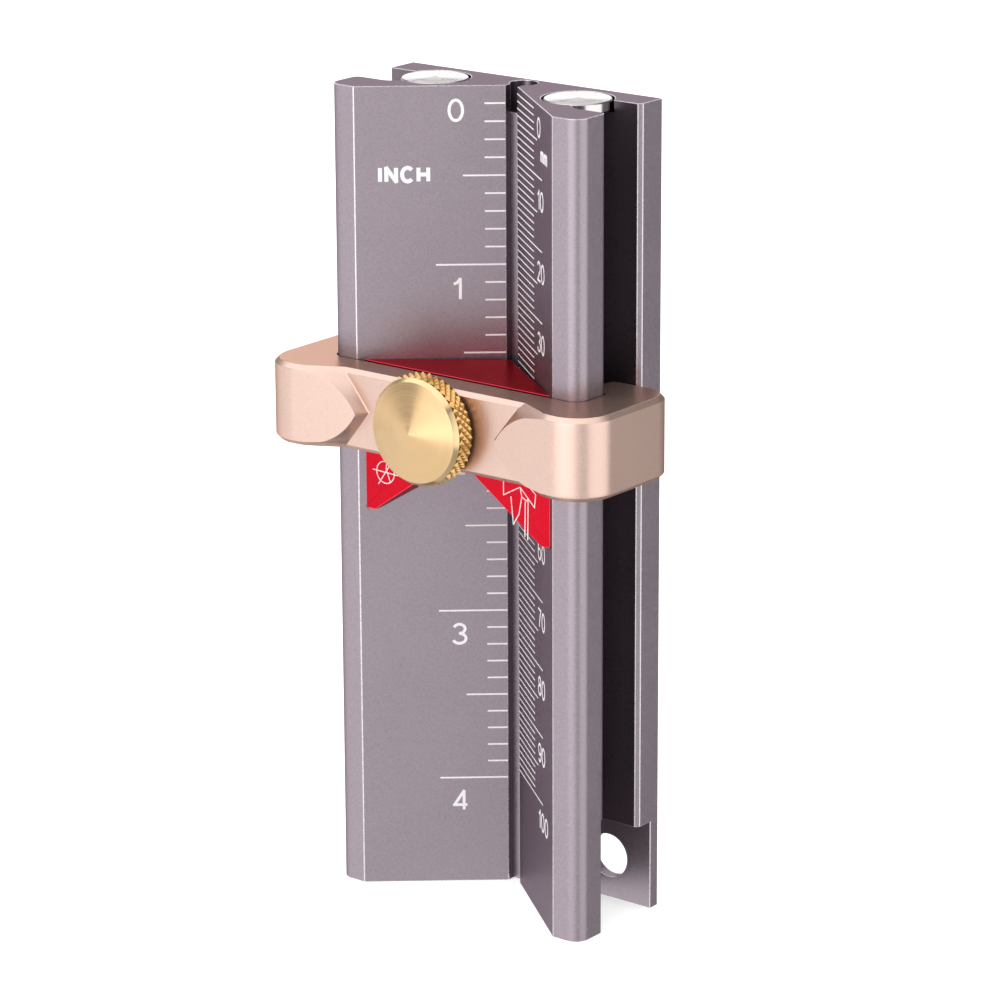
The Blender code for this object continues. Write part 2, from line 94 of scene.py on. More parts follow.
class Signal:
    """A socket's value, on which Python's operators add Math nodes."""

    def __init__(self, graph: "Graph", socket: bpy.types.NodeSocket) -> None:
        """Wrap an output socket of a graph."""
        self.graph = graph
        self.socket = socket

    def math(self, operation: str, *values: Any) -> "Signal":
        """Return a Math node's result on the given values."""
        return self.graph.add("Math", {"operation": operation}, dict(enumerate(values)))

    def __add__(self, other: Any) -> "Signal":
        """Return self + other."""
        return self.math("ADD", self, other)

    def __radd__(self, other: Any) -> "Signal":
        """Return other + self."""
        return self.math("ADD", other, self)

    def __sub__(self, other: Any) -> "Signal":
        """Return self - other."""
        return self.math("SUBTRACT", self, other)

    def __rsub__(self, other: Any) -> "Signal":
        """Return other - self."""
        return self.math("SUBTRACT", other, self)

    def __mul__(self, other: Any) -> "Signal":
        """Return self * other."""
        return self.math("MULTIPLY", self, other)

    def __rmul__(self, other: Any) -> "Signal":
        """Return other * self."""
        return self.math("MULTIPLY", other, self)

    def __truediv__(self, other: Any) -> "Signal":
        """Return self / other."""
        return self.math("DIVIDE", self, other)

    def __rtruediv__(self, other: Any) -> "Signal":
        """Return other / self."""
        return self.math("DIVIDE", other, self)

    def __mod__(self, other: Any) -> "Signal":
        """Return the remainder of self / other."""
        return self.math("FLOORED_MODULO", self, other)

    def clamp(self) -> "Signal":
        """Return the value held between 0 and 1."""
        return self.math("MINIMUM", self.math("MAXIMUM", self, 0.0), 1.0)

    def floor(self) -> "Signal":
        """Return the value rounded down."""
        return self.math("FLOOR", self)

    def less_than(self, other: Any) -> "Signal":
        """Return 1 where the value is below the other."""
        return self.math("LESS_THAN", self, other)


class Graph:
    """A shader or geometry node tree under construction."""

    def __init__(self, tree: bpy.types.NodeTree, prefix: str = "ShaderNode") -> None:
        """Start an empty tree whose nodes' types begin with the prefix."""
        self.tree = tree
        self.prefix = prefix
        tree.nodes.clear()

    @staticmethod
    def find(sockets: Any, key: int | str) -> bpy.types.NodeSocket:
        """Find a socket by its index, identifier or name."""
        if isinstance(key, int):
            return sockets[key]
        for socket in sockets:
            if socket.identifier == key:
                return socket
        return sockets[key]

    def add(
        self,
        kind: str,
        settings: dict[str, Any] | None = None,
        values: dict[int | str, Any] | None = None,
        output: int | str = 0,
    ) -> Signal:
        """Add a node and return one of its outputs.

        Args:
            kind: the node's type without the tree's prefix.
            settings: what is set on the node itself, before its sockets.
            values: numbers or signals for its inputs, by index, identifier or name.
            output: the output that is wanted.

        Returns:
            The output as a signal.
        """
        prefix = "ShaderNode" if kind == "Math" or kind.endswith("XYZ") else self.prefix
        node = self.tree.nodes.new(prefix + kind)
        for name, value in (settings or {}).items():
            setattr(node, name, value)
        for key, value in (values or {}).items():
            socket = self.find(node.inputs, key)
            if isinstance(value, Signal):
                self.tree.links.new(value.socket, socket)
            else:
                socket.default_value = value
        if not node.outputs:
            return Signal(self, None)
        return Signal(self, self.find(node.outputs, output))

    def mix_colors(self, factor: Any, first: Any, second: Any) -> Signal:
        """Return a mix of two colours."""
        settings = {"data_type": "RGBA"}
        values = {"Factor_Float": factor, "A_Color": first, "B_Color": second}
        return self.add("Mix", settings, values, "Result_Color")

    def vector_math(self, operation: str, *values: Any, output: int = 0) -> Signal:
        """Return a Vector Math node's result."""
        return self.add("VectorMath", {"operation": operation}, dict(enumerate(values)), output)


def start_group(name: str, inputs: dict[str, str]) -> tuple[Graph, dict[str, Signal]]:
    """Start a geometry node group.

    Args:
        name: the group's name.
        inputs: the kind of each input, by its name.

    Returns:
        The group's graph, and its inputs as signals.
    """
    tree = bpy.data.node_groups.new(name, "GeometryNodeTree")
    graph = Graph(tree, "GeometryNode")
    for word, kind in inputs.items():
        tree.interface.new_socket(word, in_out="INPUT", socket_type="NodeSocket" + kind)
    tree.interface.new_socket("Made", in_out="OUTPUT", socket_type="NodeSocketGeometry")
    group = tree.nodes.new("NodeGroupInput")
    return graph, {socket.name: Signal(graph, socket) for socket in group.outputs if socket.name}


def end_group(graph: Graph, values: dict[str, Any], material: Signal) -> None:
    """Set instances on points, make them real, paint them, and end the group."""
    made = graph.add("InstanceOnPoints", None, values)
    made = graph.add("RealizeInstances", None, {"Geometry": made})
    made = graph.add("SetMaterial", None, {"Geometry": made, "Material": material})
    end = graph.tree.nodes.new("NodeGroupOutput")
    graph.tree.links.new(made.socket, end.inputs["Made"])


def run_group(name: str, graph: Graph, values: dict[str, Any]) -> bpy.types.Object:
    """Run a geometry node group on an empty object and bake what it makes."""
    thing = make_object(name, bpy.data.meshes.new(name))
    modifier = thing.modifiers.new("made", "NODES")
    modifier.node_group = graph.tree
    for item in graph.tree.interface.items_tree:
        if item.in_out == "INPUT":
            modifier[item.identifier] = values[item.name]
    return settle(thing)


def rgba(color: Point, gain: float = 1.0) -> tuple[float, float, float, float]:
    """Return a colour with full alpha, scaled by a gain."""
    return (color[0] * gain, color[1] * gain, color[2] * gain, 1.0)


# ---------------------------------------------------------------- finishes


@dataclass(frozen=True)
class Finish:
    """What every finish has: its name, the record's slot, and its colour."""

    name: str
    slot: str
    color: Point

    def dress(self, graph: Graph, coords: Signal) -> tuple[dict[str, Any], dict[str, Any]]:
        """Return the Principled shader's linked signals and its plain values."""
        raise NotImplementedError

    def mottled(self, graph: Graph, mask: Signal, tones: Point) -> Signal:
        """Return the colour, between two tones of it as the mask goes from 0 to 1."""
        return graph.mix_colors(mask, rgba(self.color, tones[0]), rgba(self.color, tones[1]))

    def material(self) -> bpy.types.Material:
        """Return the finish as a material, made once."""
        if self.name in bpy.data.materials:
            return bpy.data.materials[self.name]
        material = bpy.data.materials.new(self.name)
        material.use_nodes = True
        graph = Graph(material.node_tree)
        coords = graph.add("TexCoord", output="Object")
        signals, values = self.dress(graph, coords)
        shader = graph.add("BsdfPrincipled", None, {**values, **signals})
        graph.add("OutputMaterial", None, {"Surface": shader})
        return material


@dataclass(frozen=True)
class BeadBlasted(Finish):
    """Bead-blasted and anodised aluminium: an even satin with a fine sparkle."""

    roughness: float = 0.38
    metallic: float = 0.9
    grain_scale: float = 3600.0
    grain_contrast: float = 0.16
    bump: float = 0.12
    cloud_scale: float = 90.0
    grain_gain: float = 2.2
    cloud_gain: float = 0.5
    grain_gloss: float = 0.25
    cloud_gloss: float = 0.08
    edge_tint: Point = (1.0, 1.0, 1.0)

    def dress(self, graph: Graph, coords: Signal) -> tuple[dict[str, Any], dict[str, Any]]:
        """Fine grain in colour, roughness and relief, with faint clouding."""
        noise = {"Vector": coords, "Scale": self.grain_scale, "Detail": 2.0}
        grain = graph.add("TexNoise", None, noise, "Fac")
        noise = {"Vector": coords, "Scale": self.cloud_scale, "Detail": 3.0}
        cloud = graph.add("TexNoise", None, noise, "Fac")
        tone = ((grain - 0.5) * self.grain_gain + (cloud - 0.5) * self.cloud_gain + 0.5).clamp()
        tones = (1 - self.grain_contrast, 1 + self.grain_contrast)
        color = self.mottled(graph, tone, tones)
        gloss = (grain - 0.5) * self.grain_gloss + (cloud - 0.5) * self.cloud_gloss
        roughness = gloss + self.roughness
        relief = {"Strength": self.bump, "Distance": RELIEF, "Height": grain}
        normal = graph.add("Bump", None, relief)
        signals = {"Base Color": color, "Roughness": roughness, "Normal": normal}
        return signals, {"Metallic": self.metallic, "Specular Tint": rgba(self.edge_tint)}


@dataclass(frozen=True)
class Turned(Finish):
    """Bright metal with the fine rings that a lathe tool leaves."""

    center: Point
    axis: Axis
    roughness: float = 0.24
    ring_pitch: float = 0.012 * MM
    ring_tilt: float = 0.42
    band_scale: float = 900.0
    band_low: float = 0.9
    band_gain: float = 0.2
    band_gloss: float = 0.06
    tones: Point = (0.95, 1.05)

    def dress(self, graph: Graph, coords: Signal) -> tuple[dict[str, Any], dict[str, Any]]:
        """Tilt the normal outwards, by more on some rings than on others."""
        offset = graph.vector_math("SUBTRACT", coords, self.center)
        flat = graph.vector_math("MULTIPLY", offset, self.axis.value)
        radius = graph.vector_math("LENGTH", flat, output="Value")
        outward = graph.vector_math("NORMALIZE", flat)
        ring = (radius / self.ring_pitch).floor()
        throw = graph.add("TexWhiteNoise", {"noise_dimensions": "1D"}, {"W": ring}, "Value")
        band = graph.add(
            "TexNoise", {"noise_dimensions": "1D"}, {"W": radius, "Scale": self.band_scale}, "Fac"
        )
        tilt = throw * self.ring_tilt * (self.band_low + band * self.band_gain)
        lean = graph.add("VectorMath", {"operation": "SCALE"}, {0: outward, "Scale": tilt})
        settings = {"vector_type": "VECTOR", "convert_from": "OBJECT", "convert_to": "WORLD"}
        lean = graph.add("VectorTransform", settings, {0: lean})
        surface = graph.add("NewGeometry", output="Normal")
        normal = graph.vector_math("NORMALIZE", graph.vector_math("ADD", surface, lean))
        color = self.mottled(graph, band, self.tones)
        roughness = (band - 0.5) * self.band_gloss + self.roughness
        signals = {"Base Color": color, "Roughness": roughness, "Normal": normal}
        return signals, {"Metallic": 1.0}


@dataclass(frozen=True)
class Bright(Finish):
    """Bare metal, lightly marked by handling."""

    roughness: float = 0.25
    scratch_scale: float = 700.0
    bump: float = 0.1
    mark_gloss: float = 0.2
    tones: Point = (0.9, 1.08)

    def dress(self, graph: Graph, coords: Signal) -> tuple[dict[str, Any], dict[str, Any]]:
        """Slight changes of tone and gloss with a shallow relief."""
        noise = {"Vector": coords, "Scale": self.scratch_scale, "Detail": 3.0}
        marks = graph.add("TexNoise", None, noise, "Fac")
        color = self.mottled(graph, marks, self.tones)
        roughness = (marks - 0.5) * self.mark_gloss + self.roughness
        relief = {"Strength": self.bump, "Distance": RELIEF, "Height": marks}
        normal = graph.add("Bump", None, relief)
        signals = {"Base Color": color, "Roughness": roughness, "Normal": normal}
        return signals, {"Metallic": 1.0}


@dataclass(frozen=True)
class Printed(Finish):
    """Marks that a laser has whitened on the anodised face."""

    grain_scale: float = 3000.0
    grain_gloss: float = 0.2
    roughness: float = 0.6
    tones: Point = (0.93, 1.04)

    def dress(self, graph: Graph, coords: Signal) -> tuple[dict[str, Any], dict[str, Any]]:
        """A chalky white with a slight grain."""
        noise = {"Vector": coords, "Scale": self.grain_scale, "Detail": 1.0}
        grain = graph.add("TexNoise", None, noise, "Fac")
        roughness = (grain - 0.5) * self.grain_gloss + self.roughness
        signals = {"Base Color": self.mottled(graph, grain, self.tones), "Roughness": roughness}
        return signals, {"Metallic": 0.0}


GREY = BeadBlasted(
    "grey_bead_blast",
    "grey_anodised",
    (0.36, 0.305, 0.345),
    metallic=0.96,
    grain_contrast=0.1,
    edge_tint=(0.33, 0.28, 0.31),
)
# A lighter copy of the grey for the broken edges: partly real wear, partly a painted highlight.
GREY_WEAR_AND_HIGHLIGHT_EDGE = BeadBlasted("grey_worn_edge_painted_highlight", "grey_anodised", (0.66, 0.62, 0.65), roughness=0.3)
# A darker copy of the grey for the slot, bore and side-groove faces: painted shade in the
# recesses.
GREY_PAINTED_SHADE = BeadBlasted(
    "grey_painted_shade_in_slots",
    "grey_anodised",
    (0.19, 0.155, 0.18),
    roughness=0.33,
    metallic=0.96,
    grain_contrast=0.1,
    edge_tint=(0.3, 0.25, 0.28),
)
CHAMPAGNE = BeadBlasted(
    "champagne_bead_blast",
    "champagne_anodised",
    (0.71, 0.515, 0.44),
    roughness=0.34,
    metallic=0.95,
    grain_contrast=0.06,
    edge_tint=(0.55, 0.38, 0.32),
)
RED = BeadBlasted(
    "red_anodised_satin",
    "red_anodised",
    (0.62, 0.010, 0.026),
    roughness=0.34,
    metallic=0.98,
    grain_contrast=0.08,
    bump=0.06,
    edge_tint=(0.75, 0.56, 0.57),
)
# A brighter copy of the red for the broken edges: a painted highlight.
RED_PAINTED_HIGHLIGHT_EDGE = BeadBlasted("red_painted_edge_highlight", "red_anodised", (0.92, 0.06, 0.09), roughness=0.34)
BRASS = Bright("knurled_brass", "turned_brass", (0.72, 0.45, 0.17), roughness=0.22)
# A darker copy of the brass for the core between the knurl's teeth: painted shade.
BRASS_PAINTED_SHADE = Bright("brass_painted_shade_between_teeth", "turned_brass", (0.30, 0.13, 0.03), roughness=0.3)
BRASS_RIM = Bright("brass_rim", "turned_brass", (0.80, 0.59, 0.33), roughness=0.22)
BRASS_FACE = Turned(
    "turned_brass_face",
    "turned_brass",
    (0.69, 0.47, 0.25),
    center=(0.0, 0.0, COLLAR_MID_Z),
    axis=Axis.ALONG_Y,
)
NICKEL = Bright("plated_nickel", "nickel_plate", (0.66, 0.64, 0.63), roughness=0.2)
STEEL = Bright("ground_steel", "pin_steel", (0.50, 0.50, 0.52))
WHITE_MARK = Printed("white_marking", "grey_anodised", (0.93, 0.91, 0.92))
WHITE_SYMBOL = Printed("white_symbol", "red_anodised", (0.90, 0.82, 0.82))


# ---------------------------------------------------------------- shapes


def arc_points(center: Point, radius: float, start: float, end: float, steps: int) -> list[Point]:
    """Return points along an arc, with the angles in radians."""
    points = []
    for i in range(steps + 1):
        angle = start + (end - start) * i / steps
        points.append((center[0] + radius * math.cos(angle), center[1] + radius * math.sin(angle)))
    return points


def headings(outline: list[Point], i: int) -> tuple[float, float]:
    """Return the heading into a corner of a closed outline, and the turn there."""
    x, y = outline[i][:2]
    before, after = outline[i - 1], outline[(i + 1) % len(outline)]
    heading_in = math.atan2(y - before[1], x - before[0])
    heading_out = math.atan2(after[1] - y, after[0] - x)
    return heading_in, (heading_out - heading_in + math.pi) % math.tau - math.pi


def rounded(corners: list[Point], steps: int = 12) -> list[Point]:
    """Round the corners of a closed outline.

    Args:
        corners: (x, y, radius) or (x, y, radius, inset) of each corner.
        steps: how many pieces each arc has.

    Returns:
        The outline's points as (x, y, inset).
    """
    points = []
    for i, corner in enumerate(corners):
        x, y, radius = corner[:3]
        inset = corner[3] if len(corner) > 3 else 0.0
        if not radius:
            points.append((x, y, inset))
            continue
        heading, turn = headings(corners, i)
        side = math.copysign(1, turn)
        setback = radius * math.tan(abs(turn) / 2)
        center_x = x - setback * math.cos(heading) - side * radius * math.sin(heading)
        center_y = y - setback * math.sin(heading) + side * radius * math.cos(heading)
        start = heading - side * math.pi / 2
        for px, py in arc_points((center_x, center_y), radius, start, start + turn, steps):
            points.append((px, py, inset))
    return points


def drawn_in(outline: list[Point]) -> list[Point]:
    """Move each point of a closed outline inwards by its own inset."""
    points = []
    for i, (x, y, inset) in enumerate(outline):
        heading, turn = headings(outline, i)
        square = heading + turn / 2 + math.pi / 2
        reach = inset / math.cos(turn / 2)
        points.append((x + reach * math.cos(square), y + reach * math.sin(square)))
    return points


def mirrored(right_half: list[Point]) -> list[Point]:
    """Close an outline whose right half runs from its front to its back."""
    return right_half + [(-point[0], *point[1:]) for point in reversed(right_half)]


def loft(name: str, sections: list[list[Point]], looped: bool = False) -> bpy.types.Mesh:
    """Skin closed sections of equal point counts and cap both ends, or join them."""
    mesh = bpy.data.meshes.new(name)
    bm = bmesh.new()
    rings = [[bm.verts.new(point) for point in section] for section in sections]
    for lower, upper in zip(rings, rings[1:] + rings[:1] if looped else rings[1:]):
        for i in range(len(lower)):
            j = (i + 1) % len(lower)
            bm.faces.new((lower[i], lower[j], upper[j], upper[i]))
    if not looped:
        bm.faces.new(reversed(rings[0]))
        bm.faces.new(rings[-1])
    bmesh.ops.recalc_face_normals(bm, faces=bm.faces)
    bm.to_mesh(mesh)
    bm.free()
    return mesh


def prism(name: str, outline: list[Point], low: float, high: float) -> bpy.types.Mesh:
    """Extrude a flat outline between two levels."""
    return loft(name, [[(*point[:2], level) for point in outline] for level in (low, high)])


def turned(name: str, profile: list[Point], steps: int) -> bpy.types.Mesh:
    """Turn a profile of (radius, height), which starts and ends on the axis, round Z."""
    mesh = bpy.data.meshes.new(name)
    bm = bmesh.new()
    rings = []
    for radius, height in profile:
        count = steps if radius else 1
        ring = []
        for i in range(count):
            angle = math.tau * i / steps
            ring.append(bm.verts.new((radius * math.cos(angle), radius * math.sin(angle), height)))
        rings.append(ring)
    for lower, upper in zip(rings, rings[1:]):
        for i in range(steps):
            j = (i + 1) % steps
            corners = [lower[i % len(lower)], lower[j % len(lower)]]
            corners += [upper[j % len(upper)], upper[i % len(upper)]]
            bm.faces.new(list(dict.fromkeys(corners)))
    bmesh.ops.recalc_face_normals(bm, faces=bm.faces)
    bm.to_mesh(mesh)
    bm.free()
    return mesh


def box(name: str, low: Point, high: Point) -> bpy.types.Mesh:
    """Return the box between two corners."""
    outline = [(low[0], low[1]), (high[0], low[1]), (high[0], high[1]), (low[0], high[1])]
    return prism(name, outline, low[2], high[2])


def disc(name: str, center: Point, radius: float, low: float, high: float) -> bpy.types.Mesh:
    """Return a fine cylinder along Z."""
    outline = arc_points(center, radius, 0, math.tau, 64)[:-1]
    return prism(name, outline, low, high)


def make_object(name: str, mesh: bpy.types.ID) -> bpy.types.Object:
    """Put a mesh, a lamp or a camera in the scene as an object at the origin."""
    thing = bpy.data.objects.new(name, mesh)
    bpy.context.scene.collection.objects.link(thing)
    return thing


def settle(thing: bpy.types.Object) -> bpy.types.Object:
    """Bake an object's modifiers into a plain mesh object."""
    depsgraph = bpy.context.evaluated_depsgraph_get()
    mesh = bpy.data.meshes.new_from_object(
        thing.evaluated_get(depsgraph), preserve_all_data_layers=True, depsgraph=depsgraph
    )
    name = thing.name
    bpy.data.objects.remove(thing, do_unlink=True)
    mesh.name = name
    return make_object(name, mesh)


def carve(
    thing: bpy.types.Object, tools: list[bpy.types.Mesh], operation: str = "DIFFERENCE"
) -> bpy.types.Object:
    """Cut meshes out of an object, or keep what it shares with them."""
    cutters = []
    for tool in tools:
        cutter = make_object(tool.name, tool)
        boolean = thing.modifiers.new(tool.name, "BOOLEAN")
        boolean.operation = operation
        boolean.solver = "EXACT"
        boolean.object = cutter
        cutters.append(cutter)
    thing = settle(thing)
    for cutter in cutters:
        bpy.data.objects.remove(cutter, do_unlink=True)
    return thing


def divide_faces(mesh: bpy.types.Mesh, places: list[float]) -> None:
    """Divide a mesh's faces at planes across X, because plain outlines triangulate well."""
    bm = bmesh.new()
    bm.from_mesh(mesh)
    for x in places:
        geometry = [*bm.verts, *bm.edges, *bm.faces]
        bmesh.ops.bisect_plane(bm, geom=geometry, plane_co=(x, 0, 0), plane_no=(1, 0, 0))
    bmesh.ops.remove_doubles(bm, verts=bm.verts, dist=MERGE_DISTANCE)
    bm.to_mesh(mesh)
    bm.free()


def soften(
    thing: bpy.types.Object,
    width: float,
    angle: float = 25.0,
    edge_slot: int = -1,
    clamp: bool = True,
    inner: bool = False,
) -> bpy.types.Object:
    """Break an object's sharp edges and shade its rounds smooth.

    Args:
        thing: the object, which is used up.
        width: how far each broken edge reaches.
        angle: the least angle, in degrees, of an edge that is broken.
        edge_slot: the material slot of the broken edges, or -1 for their neighbours' own.
        clamp: whether the width is held down where edges are short.
        inner: whether inner corners are broken as well as outer ones.

    Returns:
        The softened object.
    """
    bm = bmesh.new()
    bm.from_mesh(thing.data)
    weight = bm.edges.layers.float.new("bevel_weight_edge")
    for edge in bm.edges:
        turn = edge.calc_face_angle_signed(0.0)
        edge[weight] = float((abs(turn) if inner else turn) > math.radians(angle))
    bm.to_mesh(thing.data)
    bm.free()
    bevel = thing.modifiers.new("edge_break", "BEVEL")
    bevel.material = edge_slot
    bevel.width = width
    bevel.segments = EDGE_STRIPS
    bevel.limit_method = "WEIGHT"
    bevel.use_clamp_overlap = clamp
    thing = settle(thing)
    thing.data.shade_smooth()
    thing.data.set_sharp_from_angle(angle=math.radians(angle))
    weighted = thing.modifiers.new("even_normals", "WEIGHTED_NORMAL")
    weighted.keep_sharp = True
    return settle(thing)


def add_finishes(thing: bpy.types.Object, finishes: list[Finish]) -> None:
    """Give an object a material slot for each finish."""
    for finish in finishes:
        thing.data.materials.append(finish.material())


def finish_piece(
    thing: bpy.types.Object, body: str, finishes: list[Finish], *nodes: str
) -> bpy.types.Object:
    """Dress a piece, make it ride, and hide the nodes that it stands for."""
    last = len(finishes) - 1
    slots = [min(face.material_index, last) for face in thing.data.polygons]
    thing.data.materials.clear()
    add_finishes(thing, finishes)
    thing.data.polygons.foreach_set("material_index", slots)
    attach(thing, body)
    if nodes:
        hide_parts(*nodes)
    log.info("%s rides on %s, %d faces", thing.name, body, len(thing.data.polygons))
    return thing


# ---------------------------------------------------------------- the bar


@dataclass
class GaugeBar:
    """The extruded bar: a trough, a wing on each side and a plate behind."""

    height: float = TOP_Z
    trough_width: float = 34.48 * MM
    trough_depth: float = 13.4 * MM
    trough_wall: float = 4.15 * MM
    slot_width: float = 2.04 * MM
    slot_depth: float = 1.15 * MM
    back_web: float = 4.2 * MM
    wing_width: float = 4.56 * MM
    wing_depth: float = 6.15 * MM
    wing_front_radius: float = 2.1 * MM
    wing_rear_radius: float = 1.0 * MM
    groove_wing_radius: float = 2.0 * MM
    groove_root_radius: float = 1.0 * MM
    plate_thickness: float = 4.9 * MM
    plate_right_chamfer: float = 0.55 * MM
    plate_left_chamfer: float = 0.0
    magnet_x: float = 12.45 * MM
    magnet_y: float = 12.1 * MM
    magnet_pocket_radius: float = 5.05 * MM
    magnet_pocket_depth: float = 1.6 * MM
    apex_bore_radius: float = 1.95 * MM
    apex_bore_depth: float = 4.0 * MM
    apex_bore_y: float = 16.2 * MM
    relief_height: float = 17.0 * MM
    relief_depth: float = 0.9 * MM
    tab_height: float = 13.2 * MM
    tab_length: float = 12.8 * MM
    tab_thickness: float = 1.8 * MM
    tab_hole_radius: float = 3.25 * MM
    tab_hole_inset: float = 7.38 * MM
    tab_hole_height: float = 6.4 * MM
    edge_break: float = 0.11 * MM
    overrun: float = 2.0 * MM
    slack: float = 0.02 * MM
    groove_lip: float = 2.0 * MM

    @property
    def half(self) -> float:
        """Half the bar's width."""
        return self.trough_width / 2 + self.wing_width

    @property
    def depth(self) -> float:
        """The bar's whole depth."""
        return self.trough_depth + self.slot_depth + self.back_web

    @property
    def face_angle(self) -> float:
        """The trough face's angle from straight back."""
        return math.atan2((self.trough_width - self.slot_width) / 2, self.trough_depth)

    def wall_back_x(self, y: float) -> float:
        """Return where the back of the trough's wall is at a given depth."""
        offset = self.trough_wall / math.cos(self.face_angle)
        return self.slot_width / 2 + offset + (self.trough_depth - y) * math.tan(self.face_angle)

    def half_outline(self, side: Side, plate_chamfer: float) -> list[Point]:
        """Return the corners of one half of the section, from trough to back."""
        slot_x = self.slot_width / 2
        plate_y = self.depth - self.plate_thickness
        corners = [
            (slot_x, self.trough_depth + self.slot_depth, 0),
            (slot_x, self.trough_depth, 0),
            (self.trough_width / 2, 0, 0),
            (self.half, 0, self.wing_front_radius),
            (self.half, self.wing_depth, self.wing_rear_radius),
            (self.wall_back_x(self.wing_depth), self.wing_depth, self.groove_wing_radius),
            (self.wall_back_x(plate_y), plate_y, self.groove_root_radius),
        ]
        if plate_chamfer:
            corners.append((self.half - plate_chamfer, plate_y, 0))
        corners += [(self.half, plate_y + plate_chamfer, 0), (self.half, self.depth, 0)]
        return [(side.value * x, y, radius) for x, y, radius in corners]

    def lower_cuts(self, side: Side) -> list[bpy.types.Mesh]:
        """Return the cutters of the tab, the wing's relief and the hanging hole."""
        outer_x = side.value * (self.half + self.overrun)
        tab_low = (side.value * (self.half - self.tab_length), self.depth - self.plate_thickness)
        tab = box(
            "tab_cut_" + side.word,
            (tab_low[0], tab_low[1] - self.edge_break, -self.overrun),
            (outer_x, self.depth - self.tab_thickness, self.tab_height),
        )
        relief_y = self.wing_depth - self.relief_depth
        relief = box(
            "relief_cut_" + side.word,
            (side.value * self.trough_width / 2, relief_y, -self.overrun),
            (outer_x, self.wing_depth + self.overrun / 2, self.relief_height),
        )
        hole_x = side.value * (self.half - self.tab_hole_inset)
        center = (hole_x, self.tab_hole_height)
        hole = disc("hole_cut_" + side.word, center, self.tab_hole_radius, 0, self.overrun * 2)
        hole.transform(Matrix.Rotation(math.radians(90), 4, "X"))
        hole.transform(Matrix.Translation((0, self.depth + self.overrun, 0)))
        return [tab, relief, hole]

    def is_deep(self, face: bpy.types.MeshPolygon) -> bool:
        """Tell whether a face lies in the apex slot, the bore or a side groove, where painted
        shade goes.
        """
        x, y, z = abs(face.center.x), face.center.y - FRONT_Y, face.center.z
        slack = self.slack
        slot_back = self.trough_depth + self.slot_depth
        wall = abs(face.normal.x) > 0.9
        slot = x < self.slot_width / 2 + slack and self.trough_depth < y < slot_back
        reach = math.hypot(x, y - self.apex_bore_y)
        bore_bottom = self.height - self.apex_bore_depth - slack
        bore = reach < self.apex_bore_radius + slack and z > bore_bottom
        front = self.wing_depth - self.relief_depth - slack
        groove = front < y < self.depth - self.tab_thickness + slack
        groove = groove and self.wall_back_x(y) - slack < x < self.half - self.groove_lip
        groove = groove and abs(face.normal.z) < 0.5 and z > self.tab_height
        return (slot and wall) or bore or groove

    def build(self) -> bpy.types.Object:
        """Make the bar with its pockets, bore, tabs and broken edges."""
        outline = self.half_outline(Side.RIGHT, self.plate_right_chamfer)
        outline += self.half_outline(Side.LEFT, self.plate_left_chamfer)[::-1]
        bar = make_object("trough_bar", prism("trough_bar", rounded(outline), 0, self.height))
        tools = [
            disc(
                "apex_bore_cut",
                (0, self.apex_bore_y),
                self.apex_bore_radius,
                self.height - self.apex_bore_depth,
                self.height + self.overrun,
            )
        ]
        for side in Side:
            pocket = disc(
                "pocket_cut_" + side.word,
                (side.value * self.magnet_x, self.magnet_y),
                self.magnet_pocket_radius,
                self.height - self.magnet_pocket_depth,
                self.height + self.overrun,
            )
            tools += [pocket, *self.lower_cuts(side)]
        bar = carve(bar, tools)
        bar.data.transform(Matrix.Translation((0, FRONT_Y, 0)))
        add_finishes(bar, [GREY, GREY_WEAR_AND_HIGHLIGHT_EDGE, GREY_PAINTED_SHADE])
        # Slot, bore and groove faces take the darker grey as painted shade.
        for face in bar.data.polygons:
            face.material_index = 2 if self.is_deep(face) else 0
        wall = self.slot_width / 2
        divide_faces(bar.data, [-self.trough_width / 2, -wall, wall, self.trough_width / 2])
        # The broken edges take the lighter grey: partly wear, partly a painted highlight.
        bar = soften(bar, self.edge_break, edge_slot=1, clamp=False)
        return finish_piece(bar, "bar", [GREY, GREY_WEAR_AND_HIGHLIGHT_EDGE, GREY_PAINTED_SHADE], "gauge_body")


# ---------------------------------------------------------------- the printed scales


@dataclass(frozen=True)
class Lettering:
    """How numbers or a unit are written.

    The height is the capitals', the stretch is the width as a share of the plain letters'
    own, the weight is the strokes' width, and the anchor runs from 0 at the start to 1.
    """

    height: float
    stretch: float
    weight: float
    anchor: float = 0.5


